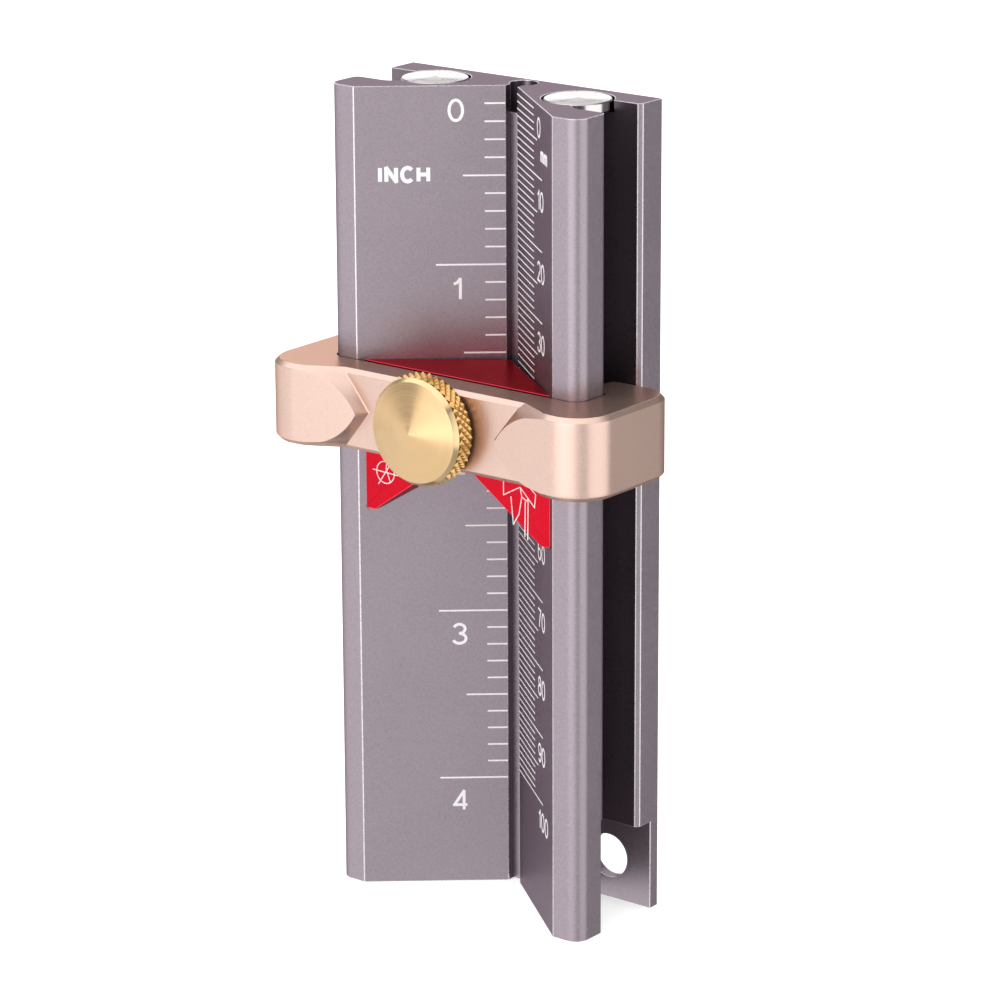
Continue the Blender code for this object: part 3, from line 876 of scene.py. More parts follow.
@dataclass
class FaceScale:
    """A scale printed on one face of the trough, counted down from the top end."""

    bar: GaugeBar
    side: Side
    name: str
    count: int
    pitch: float
    minor: float
    half: float
    major: float
    line_width: float
    labels: tuple[str, ...]
    label_pitch: float
    label_reach: float
    label_drop: float
    label_style: Lettering
    unit: str
    unit_place: Point
    unit_style: Lettering
    depth: float = 0.05 * MM
    inner_gap: float = 0.05 * MM

    def placing(self) -> Matrix:
        """Return the matrix from (reach, proud, height) on the face to the gauge.

        Reach runs from the face's inner edge towards the wing, and height is up from the
        top end.
        """
        angle, side = self.bar.face_angle, self.side.value
        out = Vector((side * math.sin(angle), -math.cos(angle), 0))
        normal = Vector((-side * math.cos(angle), -math.sin(angle), 0))
        place = Matrix((out, normal, (0, 0, 1))).transposed().to_4x4()
        corner_x, corner_y = side * self.bar.slot_width / 2, FRONT_Y + self.bar.trough_depth
        place.translation = Vector((corner_x, corner_y, self.bar.height))
        return place

    def tick_tree(self) -> Graph:
        """Return the node group that rules a row of ticks of three lengths."""
        inputs = {"Count": "Int", "Pitch": "Float", "Minor": "Float", "Half": "Float"}
        inputs |= {"Major": "Float", "Width": "Float", "Depth": "Float", "Paint": "Material"}
        graph, given = start_group(self.name + "_rule", inputs)
        step = graph.add("CombineXYZ", None, {"Z": given["Pitch"] * -1.0})
        values = {"Count": given["Count"], "Start Location": step, "Offset": step}
        line = graph.add("MeshLine", {"mode": "OFFSET"}, values)
        index = graph.add("InputIndex") + 1.0
        tenth = (index % 10.0).less_than(0.5)
        fifth = (index % 5.0).less_than(0.5)
        reach = given["Minor"] + fifth * (given["Half"] - given["Minor"])
        reach = reach + tenth * (given["Major"] - reach)
        size = {"X": reach, "Y": given["Depth"], "Z": given["Width"]}
        size = graph.add("CombineXYZ", None, size)
        cube = graph.add("MeshCube", None, {"Size": (1.0, 1.0, 1.0)})
        cube = graph.add("Transform", None, {"Geometry": cube, "Translation": (0.5, 0.0, 0.0)})
        values = {"Points": line, "Instance": cube, "Scale": size}
        end_group(graph, values, given["Paint"])
        return graph

    def rule(self) -> bpy.types.Object:
        """Make the row of ticks."""
        values = {
            "Count": self.count,
            "Pitch": self.pitch,
            "Minor": self.minor,
            "Half": self.half,
            "Major": self.major,
            "Width": self.line_width,
            "Depth": self.depth,
            "Paint": WHITE_MARK.material(),
        }
        thing = run_group(self.name + "_ticks", self.tick_tree(), values)
        thing.data.transform(Matrix.Translation((self.inner_gap, 0, 0)))
        thing.data.transform(self.placing())
        if self.placing().determinant() < 0:
            thing.data.flip_normals()
        return thing

    def letter(self, text: str, reach: float, drop: float, style: Lettering) -> bpy.types.Mesh:
        """Make upright lettering at a place on the face.

        Args:
            text: what is written.
            reach: how far its anchor is from the face's inner edge.
            drop: how far its middle is below the top end.
            style: how it is written.

        Returns:
            The lettering as a mesh in the gauge's frame.
        """
        scale = style.height - style.weight
        spacing = style.weight / scale + LETTER_GAP
        width = sum(GLYPH_WIDTHS[letter] for letter in text) + spacing * (len(text) - 1)
        bm = bmesh.new()
        start = -width * style.anchor
        for letter in text:
            rank = 0
            for stroke, closed in glyph(letter):
                points = [
                    ((start + x) * scale * style.stretch, (y - 0.5) * scale) for x, y in stroke
                ]
                for line in flat_lines(points, style.weight, self.depth, closed, rank):
                    bm.from_mesh(line)
                    bpy.data.meshes.remove(line)
                    rank += 1
            start += GLYPH_WIDTHS[letter] + spacing
        mesh = bpy.data.meshes.new("lettering")
        bm.to_mesh(mesh)
        bm.free()
        mesh.transform(Matrix.Diagonal((self.side.value, 1, 1, 1)))
        mesh.transform(Matrix.Translation((reach, 0, -drop)))
        mesh.transform(self.placing())
        return mesh

    def build(self) -> None:
        """Make the ticks, the numbers and the unit."""
        finish_piece(self.rule(), "bar", [WHITE_MARK])
        meshes = []
        for i, label in enumerate(self.labels):
            drop = i * self.label_pitch + self.label_drop
            meshes.append(self.letter(label, self.label_reach, drop, self.label_style))
        meshes.append(self.letter(self.unit, *self.unit_place, self.unit_style))
        finish_piece(joined(self.name + "_lettering", meshes), "bar", [WHITE_MARK])


LETTER_GAP = 0.07
SHARP_TURN = math.radians(50)
LEAST_SPARE = 0.3
STRIP_STEP = 0.08
BOW_STEP = 15
GLYPH_WIDTHS = {letter: 0.58 for letter in "023456789NH"}
GLYPH_WIDTHS |= {"1": 0.4, "I": 0.04, "C": 0.62, "m": 0.9}

Stroke = tuple[list[Point], bool]


def bow(x: float, y: float, across: float, up: float, start: float, end: float) -> list[Point]:
    """Return an elliptical arc for a letter, with its angles in degrees."""
    steps = max(4, int(abs(end - start) / BOW_STEP))
    points = []
    for i in range(steps + 1):
        angle = math.radians(start + (end - start) * i / steps)
        points.append((x + across * math.cos(angle), y + up * math.sin(angle)))
    return points


def ring(x: float, y: float, across: float, up: float) -> Stroke:
    """Return an ellipse as a closed stroke."""
    return bow(x, y, across, up, 0, 345), True


def pen(*points: Point) -> Stroke:
    """Return an open stroke through points."""
    return list(points), False


def glyph(letter: str) -> list[Stroke]:
    """Return a plain letter's strokes on a unit height, and whether each is a loop."""
    if letter == "9":
        width = GLYPH_WIDTHS["9"]
        return [([(width - x, 1 - y) for x, y in stroke], loop) for stroke, loop in glyph("6")]
    upper, lower = bow(0.28, 0.76, 0.25, 0.24, 160, -80), bow(0.28, 0.26, 0.29, 0.26, 80, -160)
    strokes = {
        "0": [ring(0.29, 0.5, 0.29, 0.5)],
        "1": [pen((0.06, 0.74), (0.2, 0.82), (0.34, 1.0), (0.34, 0.0))],
        "2": [pen(*bow(0.29, 0.72, 0.27, 0.28, 165, -35), (0.02, 0.0), (0.58, 0.0))],
        "3": [pen(*upper, *lower)],
        "4": [pen((0.43, 0.0), (0.43, 1.0), (0.0, 0.26), (0.58, 0.26))],
        "5": [
            pen((0.53, 1.0), (0.12, 1.0), (0.05, 0.5)),
            pen(*bow(0.28, 0.3, 0.29, 0.3, 135, -155)),
        ],
        "6": [
            ring(0.29, 0.3, 0.28, 0.3),
            pen(*bow(0.33, 0.62, 0.31, 0.38, 50, 180), (0.01, 0.3)),
        ],
        "7": [pen((0.0, 1.0), (0.56, 1.0), (0.36, 0.6), (0.22, 0.0))],
        "8": [ring(0.29, 0.77, 0.23, 0.23), ring(0.29, 0.27, 0.28, 0.27)],
        "I": [pen((0.02, 0.0), (0.02, 1.0))],
        "N": [pen((0.0, 0.0), (0.0, 1.0), (0.58, 0.0), (0.58, 1.0))],
        "C": [pen(*bow(0.33, 0.5, 0.33, 0.5, 42, 318))],
        "H": [
            pen((0.0, 0.0), (0.0, 1.0)),
            pen((0.58, 0.0), (0.58, 1.0)),
            pen((0.0, 0.5), (0.58, 0.5)),
        ],
        "m": [
            pen((0.0, 0.0), (0.0, 1.0)),
            pen(*bow(0.225, 0.72, 0.225, 0.28, 180, 0), (0.45, 0.0)),
            pen(*bow(0.675, 0.72, 0.225, 0.28, 180, 0), (0.9, 0.0)),
        ],
    }
    return strokes[letter]


def unit(start: Point, end: Point) -> Vector:
    """Return the direction from one flat point to another."""
    return (Vector(end) - Vector(start)).normalized()


def straight_runs(points: list[Point], width: float) -> list[list[Point]]:
    """Split a line at its sharp corners, where each run goes on to fill the corner."""
    runs, run = [], [Vector(points[0])]
    for before, point, after in zip(points, points[1:], points[2:]):
        run.append(Vector(point))
        turn = unit(before, point).angle(unit(point, after))
        if turn > SHARP_TURN:
            spare = width / 2 * max(LEAST_SPARE, math.sin(turn))
            run[-1] = run[-1] + unit(before, point) * spare
            runs.append(run)
            run = [Vector(point) - unit(point, after) * spare]
    run.append(Vector(points[-1]))
    return runs + [run]


def flat_lines(
    points: list[Point], width: float, depth: float, closed: bool = False, rank: int = 0
) -> list[bpy.types.Mesh]:
    """Draw a line through points (x, z) as flat strips of even width.

    Args:
        points: where the line's middle goes.
        width: the line's width.
        depth: the strips' thickness, half on each side of the plane y = 0.
        closed: whether the line is a smooth loop.
        rank: the first strip's rank, because crossing strips lie at unlike heights.

    Returns:
        A closed strip for each run between sharp corners.
    """
    runs = [[Vector(point) for point in points]] if closed else straight_runs(points, width)
    strips = []
    for run in runs:
        half_depth = depth / 2 * (1 + STRIP_STEP * (rank + len(strips)))
        sections = []
        for i, point in enumerate(run):
            if closed:
                before, after = run[i - 1], run[(i + 1) % len(run)]
            else:
                before, after = run[max(i - 1, 0)], run[min(i + 1, len(run) - 1)]
            along = unit(before, after)
            side = Vector((along.y, -along.x)) * width / 2
            left, right = point + side, point - side
            sections.append(
                [
                    (left.x, -half_depth, left.y),
                    (left.x, half_depth, left.y),
                    (right.x, half_depth, right.y),
                    (right.x, -half_depth, right.y),
                ]
            )
        strips.append(loft("strip", sections, closed))
    return strips


def joined(name: str, meshes: list[bpy.types.Mesh]) -> bpy.types.Object:
    """Join meshes into one object and turn the faces outwards."""
    bm = bmesh.new()
    for mesh in meshes:
        bm.from_mesh(mesh)
        bpy.data.meshes.remove(mesh)
    bmesh.ops.recalc_face_normals(bm, faces=bm.faces)
    mesh = bpy.data.meshes.new(name)
    bm.to_mesh(mesh)
    bm.free()
    return make_object(name, mesh)


# ---------------------------------------------------------------- the magnets


@dataclass
class EndMagnets:
    """The two plated discs flush in the top end."""

    bar: GaugeBar
    radius: float = 4.75 * MM
    thickness: float = 1.3 * MM
    rim_chamfer: float = 0.15 * MM
    dimple_radius: float = 0.5 * MM
    dimple_depth: float = 0.08 * MM
    sharp_angle: float = math.radians(20)
    steps: int = 96

    def build(self) -> None:
        """Make both discs."""
        for side in Side:
            name = "end_magnet_" + side.word
            profile = [
                (0, -self.thickness),
                (self.radius, -self.thickness),
                (self.radius, -self.rim_chamfer),
                (self.radius - self.rim_chamfer, 0),
                (self.dimple_radius, 0),
                (0, -self.dimple_depth),
            ]
            place = (side.value * self.bar.magnet_x, FRONT_Y + self.bar.magnet_y, TOP_Z)
            mesh = turned(name, profile, self.steps)
            mesh.transform(Matrix.Translation(place))
            mesh.shade_smooth()
            mesh.set_sharp_from_angle(angle=self.sharp_angle)
            nickel = Turned(
                "turned_nickel_" + side.word,
                "nickel_plate",
                (0.46, 0.43, 0.43),
                center=place,
                axis=Axis.ALONG_Z,
                roughness=0.12,
                ring_tilt=0.55,
            )
            thing = make_object("plated_disc_" + side.word, mesh)
            for face in mesh.polygons:
                face.material_index = int(face.normal.z > 0.5)
            finish_piece(thing, "bar", [NICKEL, nickel], name)


# ---------------------------------------------------------------- the collar


@dataclass
class SliderCollar:
    """The collar: an end block with an arrow flank on each side of a thinner bar."""

    bar: GaugeBar
    height: float = 11.7 * MM
    gap: float = 0.2 * MM
    outer_half: float = 28.9 * MM
    bar_front: float = 4.82 * MM
    block_front: float = 7.78 * MM
    block_land: float = 2.3 * MM
    face_angle: float = math.radians(6)
    front_radius: float = 5.7 * MM
    rear_radius: float = 4.2 * MM
    rim_chamfer: float = 0.65 * MM
    arrow_tip: float = 12.2 * MM
    ridge_setback: float = 1.05 * MM
    ridge_slope: float = 0.78
    cove: float = 0.4 * MM
    hook_tip_gap: float = 1.86 * MM
    hook_front: float = 6.45 * MM
    hook_back: float = 12.8 * MM
    hook_front_radius: float = 0.8 * MM
    hook_rear_radius: float = 1.6 * MM
    bore_radius: float = 2.5 * MM
    edge_break: float = 0.09 * MM
    levels: int = 14
    level_power: float = 1.2

    def flank(self, height: float) -> tuple[Point, Point]:
        """Return the ridge's and the arrow's places at a height above the middle."""
        flat_half = self.height / 2 - self.rim_chamfer
        level = min(abs(height), flat_half)
        face_x = self.outer_half - self.front_radius
        rim_x = face_x - self.block_land
        radius = ((rim_x - self.arrow_tip) ** 2 + flat_half**2) / (2 * flat_half)
        arrow_x = rim_x - math.sqrt(radius**2 - (radius - flat_half + level) ** 2)
        arrow_y = -self.block_front + (face_x - arrow_x) * math.tan(self.face_angle)
        ridge_x = self.arrow_tip - self.ridge_setback + self.ridge_slope * abs(height)
        return (ridge_x, -self.bar_front), (arrow_x, arrow_y)

    def section(self, height: float, inset: float) -> list[Point]:
        """Return the collar's outline at a height, drawn in at its outer rim."""
        ridge, arrow = self.flank(height)
        run = self.outer_half - arrow[0]
        corner_y = arrow[1] - run * math.tan(self.face_angle)
        inner = self.bar.half + self.gap
        hook_x = self.bar.wall_back_x(self.hook_front) + self.hook_tip_gap
        half = [
            (*ridge, self.cove, inset),
            (*arrow, 0, inset),
            (self.outer_half, corner_y, self.front_radius, inset),
            (self.outer_half, self.hook_back, self.rear_radius, inset),
            (hook_x, self.hook_back, self.hook_rear_radius, inset),
            (hook_x, self.hook_front, self.hook_front_radius, 0),
            (inner, self.hook_front, self.bar.wing_rear_radius + self.gap, 0),
            (inner, -self.gap, self.bar.wing_front_radius + self.gap, 0),
        ]
        return drawn_in(rounded(mirrored(half), 10))

    def build(self) -> bpy.types.Object:
        """Make the collar with its screw bore and broken edges."""
        flat_half = self.height / 2 - self.rim_chamfer
        levels = [(-self.height / 2, self.rim_chamfer)]
        for i in range(-self.levels, self.levels + 1):
            share = math.copysign(abs(i / self.levels) ** self.level_power, i)
            levels.append((flat_half * share, 0.0))
        levels.append((self.height / 2, self.rim_chamfer))
        sections = []
        for height, inset in levels:
            z = COLLAR_MID_Z + height
            sections.append([(x, FRONT_Y + y, z) for x, y in self.section(height, inset)])
        collar = make_object("clamp_collar", loft("clamp_collar", sections))
        bore = disc("collar_bore_cut", (0, 0), self.bore_radius, -MM, self.bar_front + MM)
        bore.transform(Matrix.Translation((0, 0, COLLAR_MID_Z)) @ FACING_FRONT)
        collar = carve(collar, [bore])
        collar = soften(collar, self.edge_break, angle=22.0)
        return finish_piece(collar, "collar", [CHAMPAGNE], "slider_collar")


# ---------------------------------------------------------------- the wedge


@dataclass
class PointWedge:
    """The red prism in the trough, with the notch that a drill's point is tried in."""

    front: float = 0.62 * MM
    depth: float = 11.98 * MM
    front_half: float = 16.42 * MM
    nose_half: float = 0.35 * MM
    notch_half_angle: float = math.radians(55)
    foot: float = 21.75 * MM
    foot_width: float = 1.64 * MM
    tip_radius: float = 0.6 * MM
    inner_radius: float = 0.8 * MM
    hole_radius: float = 2.5 * MM
    hole_depth: float = 7.1 * MM
    pin_hole_radius: float = 1.05 * MM
    pin_hole_x: float = 2.45 * MM
    pin_hole_y: float = 4.45 * MM
    pin_hole_top: float = 5.05 * MM
    edge_break: float = 0.13 * MM
    side_spare: float = 0.05 * MM
    line_width: float = 0.15 * MM
    line_depth: float = 0.04 * MM

    def build(self) -> None:
        """Make the wedge, dress its pin, and draw its two symbols."""
        nose = self.front + self.depth
        low, high = COLLAR_TOP_Z - self.foot, COLLAR_TOP_Z
        outline = mirrored([(self.front_half, self.front), (self.nose_half, nose)])
        mesh = prism("notched_wedge", outline, low - MM, high)
        mesh.transform(Matrix.Translation((0, FRONT_Y, 0)))
        wedge = make_object("notched_wedge", mesh)
        notch_half = self.front_half - self.foot_width
        apex = self.foot - notch_half / math.tan(self.notch_half_angle)
        corners = [
            (notch_half, -self.foot, self.inner_radius),
            (self.front_half + self.side_spare, -self.foot, self.tip_radius),
            (self.front_half + self.side_spare, MM, 0),
        ]
        shape = rounded([(0, -apex, 0)] + mirrored(corners))
        front = prism("wedge_front_cut", shape, -nose - MM, MM)
        front.transform(Matrix.Translation((0, 0, COLLAR_TOP_Z)) @ FACING_FRONT)
        wedge = carve(wedge, [front], "INTERSECT")
        hole = disc("screw_hole_cut", (0, 0), self.hole_radius, -self.hole_depth - self.front, 0)
        hole.transform(Matrix.Translation((0, 0, COLLAR_MID_Z)) @ FACING_FRONT)
        center = (self.pin_hole_x, FRONT_Y + self.pin_hole_y)
        top = COLLAR_MID_Z + self.pin_hole_top
        pin_hole = disc("pin_hole_cut", center, self.pin_hole_radius, low - MM, top)
        wedge = carve(wedge, [hole, pin_hole])
        divide_faces(wedge.data, [0.0])
        add_finishes(wedge, [RED, RED_PAINTED_HIGHLIGHT_EDGE])
        # The broken edges take the brighter red as a painted highlight.
        wedge = soften(wedge, self.edge_break, edge_slot=1, clamp=False, inner=True)
        finish_piece(wedge, "wedge", [RED, RED_PAINTED_HIGHLIGHT_EDGE], "point_gauge_wedge")
        self.dress_pin()
        self.draw_symbols()

    def dress_pin(self) -> None:
        """Give the pin its ground steel."""
        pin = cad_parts["wedge_retaining_pin"]
        pin.data.materials.clear()
        pin.data.materials.append(STEEL.material())

    def line(self, points: list[Point], rank: int, closed: bool = False) -> list[bpy.types.Mesh]:
        """Draw a thin line through points (x, z), in millimetres, on the wedge's front."""
        places = [(x * MM, z * MM) for x, z in points]
        strips = flat_lines(places, self.line_width, self.line_depth, closed, rank)
        for strip in strips:
            strip.transform(Matrix.Translation((0, FRONT_Y + self.front, 0)))
        return strips

    def draw_symbols(self) -> None:
        """Draw a crossed circle on one leg and a drill's point in a notch on the other."""
        circle = arc_points(CIRCLE_PLACE, CIRCLE_RADIUS, 0, math.tau, CIRCLE_STEPS)[:-1]
        meshes = self.line(circle, 0, closed=True)
        for place, strokes in ((CIRCLE_PLACE, CIRCLE_STROKES), (DRILL_PLACE, DRILL_STROKES)):
            for stroke in strokes:
                points = [(place[0] + x, place[1] + z) for x, z in stroke]
                meshes += self.line(points, len(meshes))
        finish_piece(joined("wedge_symbols", meshes), "wedge", [WHITE_SYMBOL])


# The symbols' places and strokes as (x, z) in millimetres.
CIRCLE_PLACE = (-12.8, 62.8)
CIRCLE_RADIUS = 1.6
CIRCLE_STEPS = 40
CIRCLE_STROKES = (
    ((-2.3, 0.1), (2.3, -0.1)),
    ((-1.3, -1.9), (1.3, 1.9)),
    ((0.3, 1.57), (0.1, 0.5), (0.9, -1.33)),
)
DRILL_PLACE = (11.2, 63.9)
DRILL_STROKES = (
    ((-2.9, 1.4), (-2.9, -0.6), (0, 1.0)),
    ((0, 1.0), (2.5, -1.5), (2.7, 0.4), (0, 2.6)),
    ((-1.6, -0.6), (-1.2, -4.6)),
    ((-1.2, -4.6), (-0.2, -2.9), (0.3, -0.3), (0, 1.0)),
    ((0.3, -0.3), (1.1, -0.8), (1.4, -0.3)),
    ((1.4, -0.3), (1.3, -6.4)),
    ((0.9, -0.9), (0.8, -6.0)),
)


# ---------------------------------------------------------------- the thumbscrew


@dataclass
class Thumbscrew:
    """The brass knob with its diamond knurl, the shank and the grooved nose."""

    back: float = 5.17 * MM
    radius: float = 7.95 * MM
    knurl_width: float = 2.6 * MM
    back_chamfer: float = 0.25 * MM
    front_chamfer: float = 0.8 * MM
    face_radius: float = 7.12 * MM
    face_step: float = 0.03 * MM
    cone_height: float = 1.2 * MM
    shank_radius: float = 2.2 * MM
    groove_radius: float = 1.4 * MM
    groove_low: float = -5.5 * MM
    groove_high: float = -3.4 * MM
    nose_end: float = -7.65 * MM
    nose_chamfer: float = 0.4 * MM
    thread_pitch: float = 0.8 * MM
    thread_depth: float = 0.3 * MM
    knurl_depth: float = 0.46 * MM
    knurl_count: int = 42
    knurl_rows: int = 4
    knurl_spare_rows: float = 0.6
    knurl_blunt: float = 0.16
    face_lip: float = 0.05 * MM
    face_drop: float = 0.03 * MM
    core_step: float = 0.1 * MM
    rim_foot: float = 0.16 * MM
    groove_lip: float = 0.2 * MM
    cone_middle: Point = (0.5, 0.52)
    sharp_angle: float = math.radians(20)
    steps: int = 112

    def profile(self) -> list[Point]:
        """Return the half outline, from the face's tip to the nose."""
        core = self.radius - self.knurl_depth
        front = self.back + self.back_chamfer + self.knurl_width
        rim = front + self.front_chamfer
        points = [
            (0, rim + self.cone_height),
            (
                self.face_radius * self.cone_middle[0],
                rim + self.cone_height * self.cone_middle[1],
            ),
            (self.face_radius, rim + self.face_step),
            (self.face_radius + self.face_lip, rim - self.face_drop),
            (core + self.core_step, front + self.rim_foot),
            (core, front),
            (core, self.back + self.back_chamfer),
            (core - self.core_step, self.back),
            (self.shank_radius, self.back),
        ]
        z = self.back - self.thread_pitch
        while z > self.groove_high + self.thread_pitch:
            points.append((self.shank_radius, z))
            points.append((self.shank_radius - self.thread_depth, z - self.thread_pitch / 2))
            z -= self.thread_pitch
        points += [
            (self.shank_radius, self.groove_high + self.groove_lip),
            (self.groove_radius, self.groove_high),
            (self.groove_radius, self.groove_low),
            (self.shank_radius, self.groove_low),
            (self.shank_radius, self.nose_end + self.nose_chamfer),
            (self.shank_radius - self.nose_chamfer, self.nose_end),
            (0, self.nose_end),
        ]
        return points

    def knurl_tree(self) -> Graph:
        """Return the node group that sets blunt pyramids in staggered rows round Z."""
        inputs = {"Round": "Int", "Rows": "Int", "Radius": "Float", "Middle": "Float"}
        inputs |= {"Row Pitch": "Float", "Height": "Float", "Blunt": "Float", "Metal": "Material"}
        graph, given = start_group("diamond_knurl", inputs)
        total = given["Round"] * given["Rows"]
        line = graph.add("MeshLine", {"mode": "OFFSET"}, {"Count": total, "Offset": (0, 0, 0)})
        index = graph.add("InputIndex")
        row = ((index + 0.5) / given["Round"]).floor()
        angle = (index + (row % 2.0) * 0.5) * math.tau / given["Round"]
        level = (row - (given["Rows"] - 1.0) / 2.0) * given["Row Pitch"] + given["Middle"]
        across = angle.math("COSINE", angle) * given["Radius"]
        along = angle.math("SINE", angle) * given["Radius"]
        place = graph.add("CombineXYZ", None, {"X": across, "Y": along, "Z": level})
        points = graph.add("SetPosition", None, {"Geometry": line, "Position": place})
        values = {"Vertices": 4, "Radius Top": given["Blunt"], "Radius Bottom": 1.0, "Depth": 1.0}
        pyramid = graph.add("MeshCone", {"fill_type": "NGON"}, values)
        turn = graph.add("CombineXYZ", None, {"Y": math.pi / 2, "Z": angle})
        around = given["Radius"] * math.pi / given["Round"]
        size = {"X": given["Row Pitch"], "Y": around, "Z": given["Height"]}
        size = graph.add("CombineXYZ", None, size)
        values = {"Points": points, "Instance": pyramid, "Rotation": turn, "Scale": size}
        end_group(graph, values, given["Metal"])
        return graph

    def knurl(self) -> bpy.types.Mesh:
        """Make the knurl's pyramids round the knob."""
        values = {
            "Round": self.knurl_count,
            "Rows": self.knurl_rows,
            "Radius": self.radius - self.knurl_depth,
            "Middle": self.back + self.back_chamfer + self.knurl_width / 2,
            "Row Pitch": self.knurl_width / (self.knurl_rows + self.knurl_spare_rows),
            "Height": self.knurl_depth,
            "Blunt": self.knurl_blunt,
            "Metal": BRASS.material(),
        }
        thing = run_group("knob_knurl", self.knurl_tree(), values)
        mesh = thing.data
        bpy.data.objects.remove(thing, do_unlink=True)
        return mesh

    def build(self) -> None:
        """Make the screw and its knurl."""
        place = Matrix.Translation((0, 0, COLLAR_MID_Z)) @ FACING_FRONT
        mesh = turned("brass_thumbscrew", self.profile(), self.steps)
        rim_level = self.back + self.back_chamfer + self.knurl_width
        slots = []
        for face in mesh.polygons:
            x, y, z = face.center
            reach = math.hypot(x, y)
            slots.append(int(z > rim_level) + int(z > rim_level and reach < self.face_radius))
            # The core between the knurl's teeth takes the darker brass as painted shade.
            if self.back < z < rim_level:
                slots[-1] = 3
        mesh.shade_smooth()
        mesh.set_sharp_from_angle(angle=self.sharp_angle)
        mesh.transform(place)
        screw = make_object("brass_thumbscrew", mesh)
        mesh.polygons.foreach_set("material_index", slots)
        finishes = [BRASS, BRASS_RIM, BRASS_FACE, BRASS_PAINTED_SHADE]
        finish_piece(screw, "screw", finishes, "thumbscrew")
        knurl = self.knurl()
        knurl.transform(place)
        finish_piece(make_object("knob_knurl", knurl), "screw", [BRASS])


# ---------------------------------------------------------------- the studio


def heading_to(azimuth: float, elevation: float) -> Vector:
    """Return a direction from the gauge, with its angles in degrees from the front."""
    turn, rise = math.radians(azimuth), math.radians(elevation)
    level = math.cos(rise)
    return Vector((math.sin(turn) * level, -math.cos(turn) * level, math.sin(rise)))


def aim(thing: bpy.types.Object, place: Vector, turn: Quaternion) -> None:
    """Place and turn a lamp or a camera."""
    thing.location = place
    thing.rotation_mode = "QUATERNION"
    thing.rotation_quaternion = turn


@dataclass
class Softbox:
    """A soft lamp, placed by its direction from the gauge."""

    name: str
    azimuth: float
    elevation: float
    glow: float
    width: float
    height: float
    distance: float = 0.9

    def build(self, target: Vector) -> None:
        """Place the lamp and turn it to the gauge."""
        away = heading_to(self.azimuth, self.elevation)
        lamp = bpy.data.lights.new(self.name, "AREA")
        lamp.energy = self.glow * math.pi * self.width * self.height
        lamp.shape = "RECTANGLE"
        lamp.size = self.width
        lamp.size_y = self.height
        thing = make_object(self.name, lamp)
        aim(thing, target + away * self.distance, away.to_track_quat("Z", "Y"))
        thing.visible_camera = False


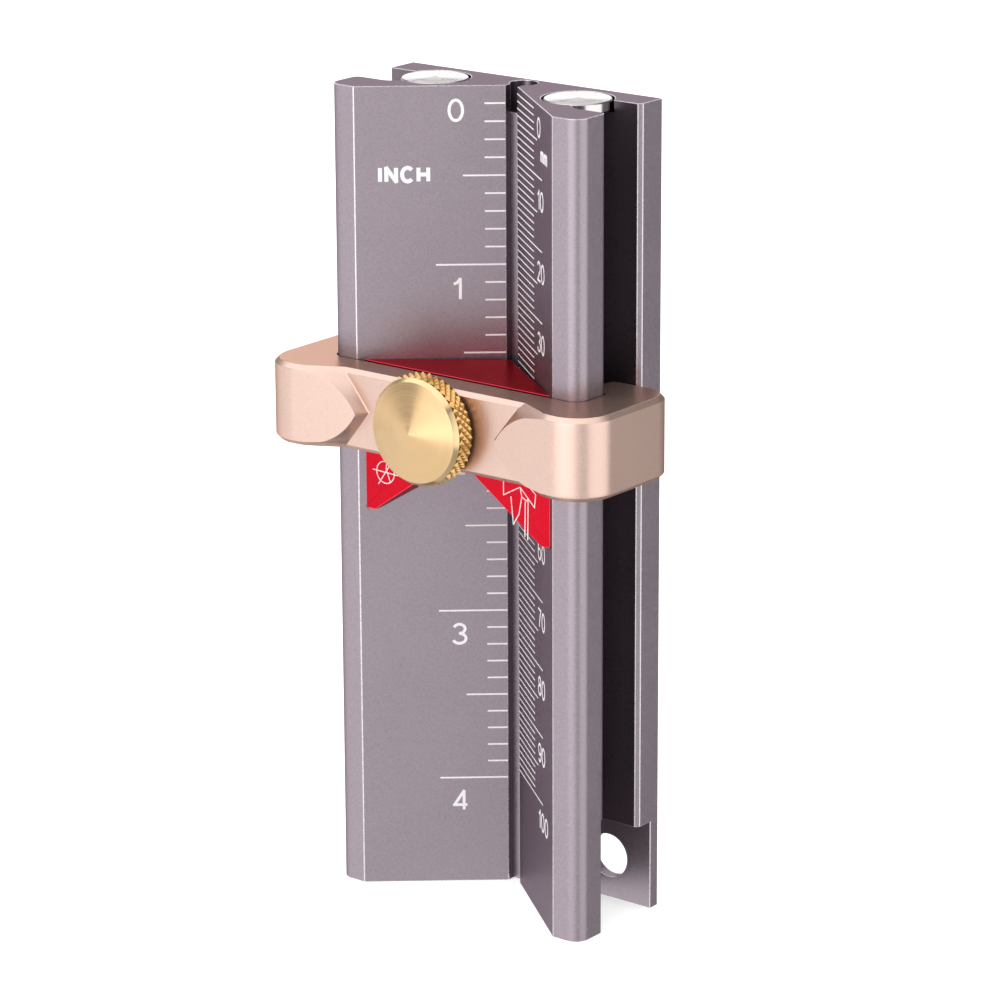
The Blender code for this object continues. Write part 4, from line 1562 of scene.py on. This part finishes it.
@dataclass
class Studio:
    """The camera, the white surroundings, the floor and the lamps."""

    azimuth: float = 38.041
    elevation: float = 16.646
    roll: float = -0.268
    lens: float = 155.25
    distance: float = 595.29 * MM
    target_x: float = 8.148 * MM
    target_z: float = 62.657 * MM
    sensor: float = 36.0
    floor_half: float = 3.0
    floor_color: Point = (0.80, 0.80, 0.80)
    floor_roughness: float = 0.9
    floor_glow: float = 0.5
    world_light: float = 0.55
    dim_side: float = 0.42
    bright_side: float = 1.18
    bright_azimuth: float = -37.0
    side_span: Point = (-0.4, 0.65)
    height_span: Point = (-0.1, 0.35)
    high_share: float = 0.4
    lamps: tuple[Softbox, ...] = (
        Softbox("front_softbox", 2, 18, 0.95, 1.05, 1.3),
        Softbox("right_softbox", 94, 5, 1.1, 1.1, 1.2),
        Softbox("top_softbox", -40, 84, 1.15, 1.9, 1.9),
        Softbox("rear_softbox", 218, 17, 1.35, 0.6, 0.5),
    )

    def build_camera(self) -> None:
        """Set the camera that was fitted to the printed scales."""
        azimuth = math.radians(self.azimuth)
        back = heading_to(self.azimuth, self.elevation)
        right = Vector((math.cos(azimuth), math.sin(azimuth), 0))
        up = back.cross(right)
        roll = Matrix.Rotation(math.radians(self.roll), 3, "Z")
        turn = Matrix((right, up, back)).transposed() @ roll
        camera = bpy.data.cameras.new("camera")
        camera.lens = self.lens
        camera.sensor_width = self.sensor
        target = Vector((self.target_x, FRONT_Y, self.target_z))
        thing = make_object("camera", camera)
        aim(thing, target + back * self.distance, turn.to_quaternion())
        bpy.context.scene.camera = thing

    @staticmethod
    def ease(graph: Graph, value: Signal, span: Point, ends: Point) -> Signal:
        """Return a smooth change from the first end to the second over a span."""
        names = ("Value", "From Min", "From Max", "To Min", "To Max")
        values = dict(zip(names, (value, *span, *ends)))
        return graph.add("MapRange", {"interpolation_type": "SMOOTHSTEP"}, values)
    def build_world(self) -> None:
        """Make white surroundings, which metal sees dimmer away from the bright side."""
        world = bpy.data.worlds.new("studio")
        bpy.context.scene.world = world
        world.use_nodes = True
        graph = Graph(world.node_tree)
        camera = graph.add("LightPath", output="Is Camera Ray")
        clear = graph.add("LightPath", output="Is Transmission Ray")
        glossy = graph.add("LightPath", output="Is Glossy Ray")
        direction = graph.add("TexCoord", output="Generated")
        toward = heading_to(self.bright_azimuth, 0.0)
        facing = graph.vector_math("DOT_PRODUCT", direction, toward, output="Value")
        height = graph.add("SeparateXYZ", None, {0: direction}, "Z")
        tone = self.ease(graph, facing, self.side_span, (self.dim_side, self.bright_side))
        tone = tone * self.ease(graph, height, self.height_span, (1.0, self.high_share))
        seen = (camera + clear).clamp()
        strength = self.world_light + glossy * (tone - self.world_light)
        strength = strength + seen * (1.0 - strength)
        values = {"Color": (1, 1, 1, 1), "Strength": strength}
        graph.add("OutputWorld", None, {"Surface": graph.add("Background", None, values)})

    def build_floor(self) -> None:
        """Lay a pale floor that keeps the gauge's shadow."""
        half = self.floor_half
        mesh = bpy.data.meshes.new("floor")
        corners = [(-half, -half, 0), (half, -half, 0), (half, half, 0), (-half, half, 0)]
        mesh.from_pydata(corners, [], [(0, 1, 2, 3)])
        floor = make_object("floor", mesh)
        material = bpy.data.materials.new("pale_floor")
        material.use_nodes = True
        graph = Graph(material.node_tree)
        seen = graph.add("LightPath", output="Is Camera Ray")
        values = {
            "Base Color": rgba(self.floor_color),
            "Roughness": self.floor_roughness,
            "Specular IOR Level": 0.0,
            "Emission Color": graph.mix_colors(seen, (0, 0, 0, 1), (1, 1, 1, 1)),
            "Emission Strength": self.floor_glow,
        }
        shader = graph.add("BsdfPrincipled", None, values)
        graph.add("OutputMaterial", None, {"Surface": shader})
        mesh.materials.append(material)
        floor.visible_glossy = False
        floor.visible_shadow = False

    def build(self) -> None:
        """Set up the whole studio."""
        bpy.context.scene.view_settings.view_transform = "Standard"
        self.build_camera()
        self.build_world()
        self.build_floor()
        for lamp in self.lamps:
            lamp.build(Vector((0, 0, TOP_Z / 2)))


def inch_scale(bar: GaugeBar) -> FaceScale:
    """Return the left face's scale, in tenths of an inch."""
    return FaceScale(
        bar,
        Side.LEFT,
        "inch_scale",
        count=40,
        pitch=INCH / 10,
        minor=2.9 * MM,
        half=5.92 * MM,
        major=9.78 * MM,
        line_width=0.24 * MM,
        labels=("0", "1", "2", "3", "4"),
        label_pitch=INCH,
        label_reach=6.9 * MM,
        label_drop=3.5 * MM,
        label_style=Lettering(3.3 * MM, 1.12, 0.42 * MM),
        unit="INCH",
        unit_place=(14.16 * MM, 12.5 * MM),
        unit_style=Lettering(2.5 * MM, 1.2, 0.56 * MM),
    )


def millimetre_scale(bar: GaugeBar) -> FaceScale:
    """Return the right face's scale, in millimetres."""
    return FaceScale(
        bar,
        Side.RIGHT,
        "millimetre_scale",
        count=100,
        pitch=MM,
        minor=10.05 * MM,
        half=12.05 * MM,
        major=14.95 * MM,
        line_width=0.18 * MM,
        labels=tuple(str(value) for value in range(0, 101, 10)),
        label_pitch=9.965 * MM,
        label_reach=12.35 * MM,
        label_drop=3.1 * MM,
        label_style=Lettering(2.9 * MM, 1.12, 0.34 * MM, anchor=0.0),
        unit="mm",
        unit_place=(16.2 * MM, 6.85 * MM),
        unit_style=Lettering(1.75 * MM, 1.2, 0.42 * MM),
    )


def main() -> None:
    """Build the gauge's pieces and the studio in order."""
    logging.basicConfig(level=logging.INFO, format="%(message)s")
    Studio().build()
    bar = GaugeBar()
    bar.build()
    inch_scale(bar).build()
    millimetre_scale(bar).build()
    EndMagnets(bar).build()
    SliderCollar(bar).build()
    PointWedge().build()
    Thumbscrew().build()


if __name__ == "__main__":
    main()
